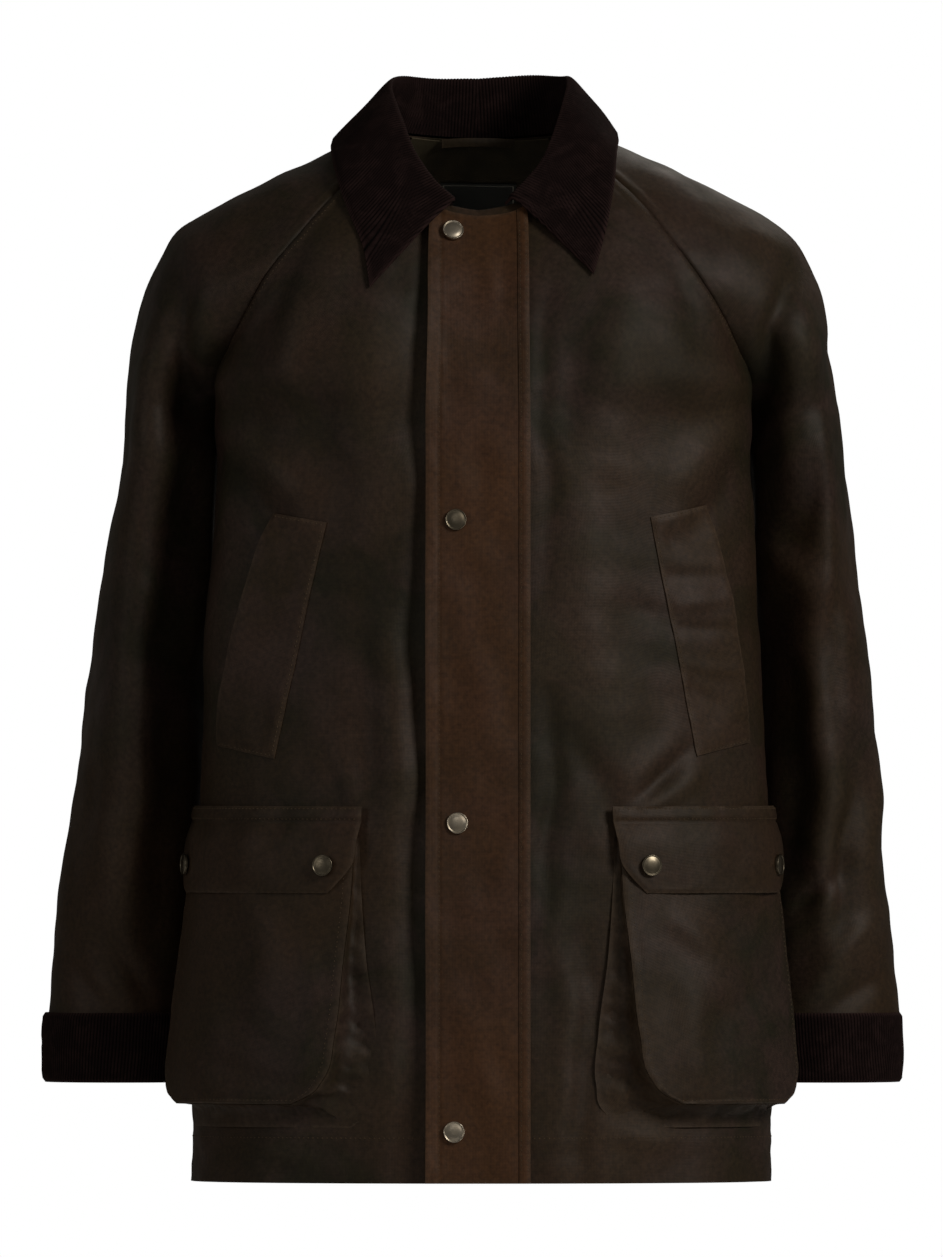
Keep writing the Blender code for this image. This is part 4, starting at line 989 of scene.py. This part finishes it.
def on_panel(key, net, across, height):
    """Points on a front and their directions out, at ways along the cloth from its centre and at heights.
    net is that front with its folds, or without them."""
    row = np.clip((height - HEM) / (UNDERARM - HEM) * BODY_ROWS, 0, BODY_ROWS - 1e-6)
    low = row.astype(int)
    up = (row - low)[..., None]
    totals = run_along(nets[key][:BODY_ROWS + 1], 1)[:, -1]
    total = totals[low] * (1 - up[..., 0]) + totals[low + 1] * up[..., 0]
    column = np.clip(np.interp(across / total, front_places, np.arange(len(front_places))),
                     0, len(front_places) - 1 - 1e-6)
    first = column.astype(int)
    aside = (column - first)[..., None]
    found = []
    for grid in (net, outs[key]):
        below = (1 - aside) * grid[low, first] + aside * grid[low, first + 1]
        above = (1 - aside) * grid[low + 1, first] + aside * grid[low + 1, first + 1]
        found.append((1 - up) * below + up * above)
    return found[0], unit(found[1])


def along_cloth(key, x, height):
    """How far along the cloth from the centre front the panel reaches a given x."""
    row = int(round((height - HEM) / (UNDERARM - HEM) * BODY_ROWS))
    line = nets[key][row]
    widest = int(np.argmax(np.abs(line[:, 0])))
    return float(np.interp(x, np.abs(line[:widest + 1, 0]), lengths_of(line)[:widest + 1]))


for row in WELTS[1:]:
    name = row[0]
    key = "front_" + name
    corner = dict(zip(WELTS[0][1:], row[1:]))
    ends = {place: np.array([corner["%s_%s" % (place, axis)] for axis in "xz"])
            for place in ("top_inner", "top_outer", "low_inner", "low_outer")}
    across, height = np.zeros((WELT_ROWS + 1, WELT_COLUMNS + 1)), np.zeros((WELT_ROWS + 1, WELT_COLUMNS + 1))
    for i, down in enumerate(spread(WELT_ROWS)[::-1]):
        inner = (1 - down) * ends["top_inner"] + down * ends["low_inner"]
        outer = (1 - down) * ends["top_outer"] + down * ends["low_outer"]
        for j, out_share in enumerate(spread(WELT_COLUMNS)):
            x, z = (1 - out_share) * inner + out_share * outer
            across[i, j], height[i, j] = along_cloth(key, x, z), z
    net, out = on_panel(key, creased[key], across, height)
    belly = np.sin(np.pi * spread(WELT_ROWS))[:, None] ** 0.6 * spread(WELT_COLUMNS)[None, :] ** 2
    lift = WALL + PATCH_LIFT + WELT_MOUTH[name] * belly
    shape = folded(net, FOLDS["hand_pocket_" + name]) + waves(net, 0.03, 0.0003, 41)
    sewn = from_edge(net, ("first", "low", "high"))
    edge = from_edge(net)
    line = near(sewn - 0.0022, 0.0009)
    shape = shape * ramp(sewn, 0, 0.006) - 0.0009 * near(edge, 0.0009) - 0.0004 * line
    shape += waves(net, 0.009, 0.0003, 42) * near(sewn, 0.005)
    net_now = net + out * shape[..., None]
    piece = shell("cloth_hand_pocket_" + name, net_now, out, lift, WALL, welt_cotton,
                  wear=0.8 * np.exp(-edge / 0.0014) + 0.3 * line)
    declare(piece, "hand_pocket_" + name)
    face = net_now + out * (lift + WALL)[..., None]
    stitches("stitching_hand_pocket_" + name, [
        (face[2:-2, 1], out[2:-2, 1]), (face[1, 1:], out[1, 1:]), (face[-2, 1:], out[-2, 1:])])

# ---------------------------------------------------------------------------------------------------------
# The large pockets: bellows pockets that stand off the jacket when full. A front with rounded lower corners
# is sewn at its sides and foot to a gusset that folds in on itself, and a flap with two snaps closes over it.
BAG = (
    ("height", "inner", "outer", "stand", "foot_height", "foot_inner", "foot_outer"),
    (-0.704, 0.1450, 0.235, 0.0205, -0.7205, 0.1060, 0.255),
    (-0.697, 0.1310, 0.248, 0.0215, -0.7080, 0.0915, 0.268),
    (-0.685, 0.1210, 0.257, 0.0215, -0.6900, 0.0870, 0.274),
    (-0.653, 0.1140, 0.262, 0.0185, -0.6530, 0.0885, 0.274),
    (-0.600, 0.1095, 0.263, 0.0130, -0.6000, 0.0955, 0.272),
    (-0.546, 0.1050, 0.264, 0.0070, -0.5480, 0.0995, 0.270),
    (-0.508, 0.1040, 0.264, 0.0030, -0.5080, 0.1010, 0.268),
)
POCKET_FLAP = (
    ("height", "inner", "outer", "stand"),
    (-0.5490, 0.1220, 0.250, 0.0100),
    (-0.5430, 0.1160, 0.258, 0.0100),
    (-0.5290, 0.1045, 0.268, 0.0098),
    (-0.5100, 0.1010, 0.270, 0.0082),
    (-0.4940, 0.0985, 0.270, 0.0036),
    (-0.4850, 0.0980, 0.270, 0.0019),
)
POCKET_SHIFT = {"right": -0.013, "left": 0.0}
BAG_ROWS, BAG_COLUMNS, GUSSET_ROWS = 70, 56, 12
POCKET_FLAP_ROWS = 34
FLAP_SEAM_BAND = 0.0085
FOLDS["bag_right"] = (
    (-0.150, -0.540, -0.138, -0.640, 0.018, 0.0035),
    (-0.175, -0.560, -0.172, -0.690, 0.014, -0.0032),
    (-0.118, -0.560, -0.118, -0.690, 0.008, 0.0022),
    (-0.128, -0.690, -0.190, -0.672, 0.009, -0.0020),
)
FOLDS["bag_left"] = (
    (0.135, -0.560, 0.170, -0.590, 0.011, 0.0032),
    (0.190, -0.560, 0.186, -0.690, 0.014, -0.0032),
    (0.140, -0.600, 0.150, -0.690, 0.012, 0.0028),
    (0.200, -0.610, 0.160, -0.640, 0.009, -0.0020),
)
FOLDS["pocket_flap_right"] = (
    (-0.160, -0.500, -0.150, -0.545, 0.014, 0.0012),
    (-0.120, -0.500, -0.128, -0.540, 0.008, -0.0010),
)
FOLDS["pocket_flap_left"] = (
    (0.130, -0.500, 0.150, -0.540, 0.010, 0.0012),
    (0.190, -0.505, 0.180, -0.545, 0.014, -0.0010),
)


def patch(key, table, heights, columns, shift):
    """A patch between the table's inner and outer lines, and how far it stands off. It hangs free of the
    folds in the front behind it."""
    share = spread(columns)[None, :]
    inner = np.array([read(table, "inner", height) for height in heights])[:, None] + shift
    outer = np.array([read(table, "outer", height) for height in heights])[:, None]
    across = (1 - share) * inner + share * outer
    net, out = on_panel(key, nets[key], across, np.broadcast_to(heights[:, None], across.shape))
    stand = np.array([read(table, "stand", height) for height in heights])[:, None]
    return net, out, WALL + np.broadcast_to(stand, across.shape)


for name, sign in SIDES:
    key = "front_" + name
    shift = POCKET_SHIFT[name]
    low, high = BAG[1][0], BAG[-1][0]
    heights = low + (high - low) * spread(BAG_ROWS) ** 1.35
    net, out, lift = patch(key, BAG, heights, BAG_COLUMNS, shift)
    edge = from_edge(net, ("first", "last", "low"))
    line = near(edge - 0.0030, 0.0010)
    shape = (folded(net, FOLDS["bag_" + name]) + waves(net, 0.05, 0.0009, 51)) * ramp(edge, 0.0, 0.02)
    shape += waves(net, 0.011, 0.0003, 52) * near(edge, 0.007)
    shape += 0.0007 * ramp(-edge, -0.0034, -0.0026) - 0.0010 * near(edge, 0.0008)
    net_now = net + out * shape[..., None]
    piece = shell("cloth_pocket_front_" + name, net_now, out, lift, WALL, waxed,
                  wear=0.9 * np.exp(-edge / 0.0016) + 0.3 * line)
    declare(piece, "pocket_front_" + name)
    face = net_now + out * (lift + WALL)[..., None]
    outline = [(i, 2) for i in range(BAG_ROWS, 2, -1)] + [(3, j) for j in range(2, BAG_COLUMNS - 1)]
    outline += [(i, BAG_COLUMNS - 2) for i in range(3, BAG_ROWS + 1)]
    pocket_lines = [(np.array([face[i, j] for i, j in outline]), np.array([out[i, j] for i, j in outline]))]

    # the gusset follows the bag's edge down one side, along the bottom and up the other
    path = [(i, 0) for i in range(BAG_ROWS, -1, -1)] + [(0, j) for j in range(1, BAG_COLUMNS)]
    path += [(i, BAG_COLUMNS) for i in range(BAG_ROWS + 1)]
    foot_across, foot_height = [], []
    for i, j in path:
        share = j / BAG_COLUMNS
        inner, outer = (read(BAG, "foot_" + end, heights[i]) for end in ("inner", "outer"))
        foot_across.append((1 - share) * (inner + shift) + share * outer)
        foot_height.append(read(BAG, "foot_height", heights[i]))
    foot, foot_out = on_panel(key, nets[key], np.array(foot_across), np.array(foot_height))
    foot = foot + foot_out * (WALL + 0.0010)
    top = np.array([net[i, j] + out[i, j] * (lift[i, j] + 0.0002) for i, j in path])
    top_out = np.array([out[i, j] for i, j in path])
    share = spread(GUSSET_ROWS)[:, None, None]
    strip = (1 - share) * foot[None] + share * top[None]
    centre = net.reshape(-1, 3).mean(axis=0)
    strip_out = unit(np.cross(np.gradient(strip, axis=1), np.gradient(strip, axis=0)), least=1e-9)
    strip_out = strip_out * np.sign(((strip - centre) * strip_out).sum())
    tall = np.linalg.norm(top - foot, axis=1)[None, :]
    bellow = np.sin(math.pi * share[..., 0]) * np.minimum(0.30 * tall, 0.0085)
    crinkle = waves(strip, 0.020, 1.0, 53) * 0.0016 + waves(strip, 0.009, 1.0, 54) * 0.0006
    shape = -bellow + crinkle * np.sin(math.pi * share[..., 0]) * np.minimum(tall / 0.012, 1.0)
    strip_now = strip + strip_out * shape[..., None]
    edge = np.minimum(share[..., 0], 1 - share[..., 0]) * tall
    # wear: the rubbed edges, and on the crinkles' ridges a lighter colour that is painted highlight
    piece = shell("cloth_pocket_gusset_" + name, strip_now, strip_out, -WALL / 2, WALL, waxed,
                  wear=0.8 * np.exp(-edge / 0.0015) + np.clip(crinkle / 0.004, 0, 0.4))
    declare(piece, "pocket_gusset_" + name)

    # the flap: its top edge is turned up and stitched down twice, and it bends out over the bag below
    heights = np.linspace(POCKET_FLAP[1][0], POCKET_FLAP[-1][0], POCKET_FLAP_ROWS + 1)
    net, out, lift = patch(key, POCKET_FLAP, heights, BAG_COLUMNS, shift)
    edge = from_edge(net, ("first", "last", "low"))
    from_top = from_edge(net, ("high",))
    band = 0.0016 * ramp(-from_top, -0.0102, -0.0088) - 0.0006 * near(from_top - 0.0108, 0.0012)
    shape = folded(net, FOLDS["pocket_flap_" + name]) + waves(net, 0.035, 0.0006, 55)
    shape *= ramp(edge, 0.0, 0.01)
    shape += waves(net, 0.012, 0.0003, 56) * near(from_top, 0.01) + band
    shape -= 0.0009 * near(np.minimum(edge, from_top), 0.0009)
    net_now = net + out * shape[..., None]
    piece = shell("cloth_pocket_flap_" + name, net_now, out, lift, FLAP_WALL, waxed,
                  wear=0.9 * np.exp(-np.minimum(edge, from_top) / 0.0016))
    declare(piece, "pocket_flap_" + name)
    face = net_now + out * (lift + FLAP_WALL)[..., None]
    stitched = [int(np.argmin(np.abs(from_top[:, 0] - far))) for far in (0.0020, FLAP_SEAM_BAND)]
    pocket_lines += [(face[row, 1:-1], out[row, 1:-1]) for row in stitched]
    stitches("stitching_pocket_" + name, pocket_lines)

# ---------------------------------------------------------------------------------------------------------
# The snaps: pressed brass caps plated with nickel and aged, each domed inside a rolled rim and set through
# the cloth. They are all fastened.
SNAP_RADIUS, SNAP_HEIGHT = 0.00775, 0.0026
SNAP_NODES = ["snap_front_%d" % number for number in (1, 2, 3, 4)]
SNAP_NODES += ["snap_pocket_%s_%s" % (side, end) for side in ("right", "left") for end in ("inner", "outer")]
TARNISH_MM, SCRATCH_MM = 9.0, 0.6
SNAP_SEAT = 0.0004
# From the cap's edge inwards: how far in each ring lies, and how far up or down.
CAP_RINGS = ((0.0007, 0.0), (0.0004, -0.0006), (0.0016, 0.0006), (0.0020, 0.0003), (0.0018, 0.0001))


def aged_nickel(name, tarnished, bare):
    """Nickel plate gone dark in patches, soft in its shine and finely scratched."""
    made, tree, shader = new_finish(name)
    place = add(tree, "ShaderNodeTexCoord")
    tarnish = add(tree, "ShaderNodeTexNoise", {
        "Vector": place.outputs["Object"], "Scale": 1000 / TARNISH_MM, "Detail": 4.0, "Roughness": 0.6})
    scratch = add(tree, "ShaderNodeTexNoise", {
        "Vector": place.outputs["Object"], "Scale": 1000 / SCRATCH_MM, "Detail": 2.0})
    aged = add(tree, "ShaderNodeMix", {
        0: tarnish.outputs["Fac"], 6: linear(tarnished), 7: linear(bare)}, data_type="RGBA")
    dulled = add(tree, "ShaderNodeMapRange", {
        "Value": tarnish.outputs["Fac"], "From Min": 0.3, "From Max": 0.7, "To Min": 0.42, "To Max": 0.26})
    scratched = add(tree, "ShaderNodeBump", {
        "Height": scratch.outputs["Fac"], "Strength": 0.15, "Distance": 0.0001})
    tree.links.new(aged.outputs[2], shader.inputs["Base Color"])
    tree.links.new(dulled.outputs[0], shader.inputs["Roughness"])
    tree.links.new(scratched.outputs[0], shader.inputs["Normal"])
    shader.inputs["Metallic"].default_value = 1.0
    return made


# The same aged nickel twice: the lighter copy is painted light for the caps that shine, the darker copy
# painted shade for the rest.
lit_nickel = aged_nickel("nickel_plate_painted_light", "#a3967f", "#e0d9cd")
shaded_nickel = aged_nickel("nickel_plate_painted_shade", "#5b5344", "#989080")
LIT_SNAPS = ("snap_front_1", "snap_front_3", "snap_front_4")

bpy.ops.object.select_all(action="DESELECT")
bpy.ops.mesh.primitive_cylinder_add(vertices=48, radius=SNAP_RADIUS, depth=SNAP_HEIGHT,
                                    location=(0, 0, SNAP_HEIGHT / 2))
cap = bpy.context.object
cap.name = "snap_cap"
bpy.ops.object.transform_apply(location=True, rotation=True, scale=True)
bpy.ops.object.mode_set(mode="EDIT")
bpy.ops.mesh.select_mode(type="FACE")
bpy.ops.mesh.select_all(action="DESELECT")
bpy.ops.object.mode_set(mode="OBJECT")
for face in cap.data.polygons:
    face.select = face.normal.z > 0.9
bpy.ops.object.mode_set(mode="EDIT")
for inset, rise in CAP_RINGS:
    bpy.ops.mesh.inset(thickness=inset, depth=rise)
bpy.ops.object.mode_set(mode="OBJECT")
rounded = cap.modifiers.new("rounded", "BEVEL")
rounded.width = 0.00035
rounded.segments = 3
rounded.limit_method = "ANGLE"
rounded.angle_limit = math.radians(40)
bpy.ops.object.modifier_apply(modifier="rounded")
bpy.ops.object.shade_smooth_by_angle(angle=math.radians(35))

for node in SNAP_NODES:
    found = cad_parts[node]
    points = np.array([vertex.co for vertex in found.data.vertices])
    middle = points.mean(axis=0)
    flattest = np.linalg.svd(points - middle)[2][2]
    axis = Vector(flattest if flattest[1] < 0 or abs(flattest[1]) < 0.2 and flattest[0] * middle[0] > 0
                  else -flattest)
    seat = middle - np.array(axis) * (np.dot(points - middle, np.array(axis)).max())
    seat = Vector(seat) + axis * SNAP_SEAT
    turn = Vector((0, 0, 1)).rotation_difference(axis).to_matrix().to_4x4()
    piece = put("cap_" + node, cap.data.copy())
    piece.data.transform(Matrix.Translation(seat) @ turn)
    # the caps that shine get the painted light copy, the others the painted shade copy
    piece.data.materials.append(lit_nickel if node in LIT_SNAPS else shaded_nickel)
    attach(piece, "root")
    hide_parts(node)
bpy.data.objects.remove(cap, do_unlink=True)

# ---------------------------------------------------------------------------------------------------------
# Inside the back of the neck: a dark twill lining, a bare satin label with a fine woven border, and a loop
# of the jacket's own cloth to hang it by.
LINING_WALL = 0.0010
LINED_ROWS = int(round(0.155 / (NECK - UNDERARM) * YOKE_ROWS))
LABEL_HALF, LABEL_TOP, LABEL_LOW = 0.028, -0.023, -0.068
LABEL_WALL = 0.0008
LABEL_COLUMNS, LABEL_ROWS = 141, 113
LOOP_COLUMNS, LOOP_ROWS, LOOP_ARCH = 60, 8, 0.0022
LINED_SIDES = 16  # columns of the back left bare at each side
TWILL_MM, MOTTLE_MM, SATIN_MM = 1.4, 14.0, 0.9
LOOP_HALF, LOOP_HEIGHT, LOOP_STAND, LOOP_DROP, LOOP_WALL = 0.027, 0.0065, 0.0045, 0.0005, 0.0012

twill, tree, shader = new_finish("cotton_twill_lining")
place = add(tree, "ShaderNodeTexCoord")
slanted = add(tree, "ShaderNodeMapping", {
    "Vector": place.outputs["UV"], "Rotation": (0, 0, math.radians(45))})
diagonal = add(tree, "ShaderNodeTexWave", {"Vector": slanted.outputs[0], "Scale": WAVE_MM / TWILL_MM})
mottle = add(tree, "ShaderNodeTexNoise", {"Vector": place.outputs["Object"], "Scale": 1000 / MOTTLE_MM})
ground = add(tree, "ShaderNodeMix", {
    0: mottle.outputs["Fac"], 6: linear("#3a3325"), 7: linear("#5c533d")}, data_type="RGBA")
ribbed = add(tree, "ShaderNodeBump", {
    "Height": diagonal.outputs["Fac"], "Strength": 0.5, "Distance": 0.0003})
tree.links.new(ground.outputs[2], shader.inputs["Base Color"])
tree.links.new(ribbed.outputs[0], shader.inputs["Normal"])
shader.inputs["Roughness"].default_value = 0.75

satin, tree, shader = new_finish("woven_satin_label")
edge_line = add(tree, "ShaderNodeAttribute", attribute_name="wear")
place = add(tree, "ShaderNodeTexCoord")
threads = add(tree, "ShaderNodeTexWave", {
    "Vector": place.outputs["UV"], "Scale": WAVE_MM / SATIN_MM}, bands_direction="Y")
bordered = add(tree, "ShaderNodeMix", {
    0: edge_line.outputs["Fac"], 6: linear("#161d19"), 7: linear("#b5b5a8")}, data_type="RGBA")
smooth_threads = add(tree, "ShaderNodeBump", {
    "Height": threads.outputs["Fac"], "Strength": 0.25, "Distance": 0.0002})
tree.links.new(bordered.outputs[2], shader.inputs["Base Color"])
tree.links.new(smooth_threads.outputs[0], shader.inputs["Normal"])
shader.inputs["Roughness"].default_value = 0.42

lined = (slice(-LINED_ROWS, None), slice(LINED_SIDES, -LINED_SIDES))
net = nets["back"][lined].copy()
out = -outs["back"][lined]
shape = waves(net, 0.04, 0.0006, 61) - 0.0006
net_now = net + out * (0.0012 + shape + 0.0006)[..., None]
piece = shell("cloth_back_lining", net_now, out, 0.0003, LINING_WALL, twill)
declare(piece, "back_lining")


def inside_neck(xs, zs):
    """Points on the face of the lining at given x and heights, by the nearest rows of its net."""
    face = net_now + out * (0.0003 + LINING_WALL)
    middle = face.shape[1] // 2
    rows = np.interp(zs, face[:, middle, 2], np.arange(face.shape[0]))
    found, ways = [], []
    for row in rows:
        low = min(int(row), face.shape[0] - 2)
        line = (1 - row + low) * face[low] + (row - low) * face[low + 1]
        way = (1 - row + low) * out[low] + (row - low) * out[low + 1]
        found.append(np.column_stack([np.interp(xs, line[:, 0], line[:, axis]) for axis in range(3)]))
        ways.append(np.column_stack([np.interp(xs, line[:, 0], way[:, axis]) for axis in range(3)]))
    return np.array(found), np.array(ways)


label, label_out = inside_neck(np.linspace(-LABEL_HALF, LABEL_HALF, LABEL_COLUMNS),
                               np.linspace(LABEL_LOW, LABEL_TOP, LABEL_ROWS))
edge = from_edge(label)
border = ramp(-np.abs(edge - 0.0022), -0.00045, -0.00025)
label_now = label + label_out * (waves(label, 0.03, 0.0003, 63) + 0.0004)[..., None]
piece = shell("satin_neck_label", label_now, label_out, 0.0004, LABEL_WALL, satin, wear=border)
declare(piece, "neck_label")

seat = nets["back"][-1]
middle = seat.shape[0] // 2
xs = np.linspace(-LOOP_HALF, LOOP_HALF, LOOP_COLUMNS + 1)
line = np.column_stack([np.interp(xs, seat[:, 0], seat[:, axis]) for axis in range(3)])
across = spread(LOOP_ROWS)[:, None, None]
arch = np.sin(np.pi * spread(LOOP_COLUMNS))[None, :]
down = LOOP_DROP + LOOP_HEIGHT * (1 - across)
loop = line[None] + np.array([0, 0, 1]) * (LOOP_ARCH * arch[..., None] ** 0.7 - down)
inwards = np.broadcast_to(np.array([0.0, -1.0, 0.0]), loop.shape)
crown = 0.0006 * np.sin(np.pi * across[..., 0])
loop_cloth = waxed_cotton("waxed_cotton_loop", "#33291a", "#292113", "#342714")
piece = shell("cloth_hanger_loop", loop, inwards, LINING_WALL + 0.0016 + LOOP_STAND * arch + crown,
              LOOP_WALL, loop_cloth)
declare(piece, "hanger_loop")
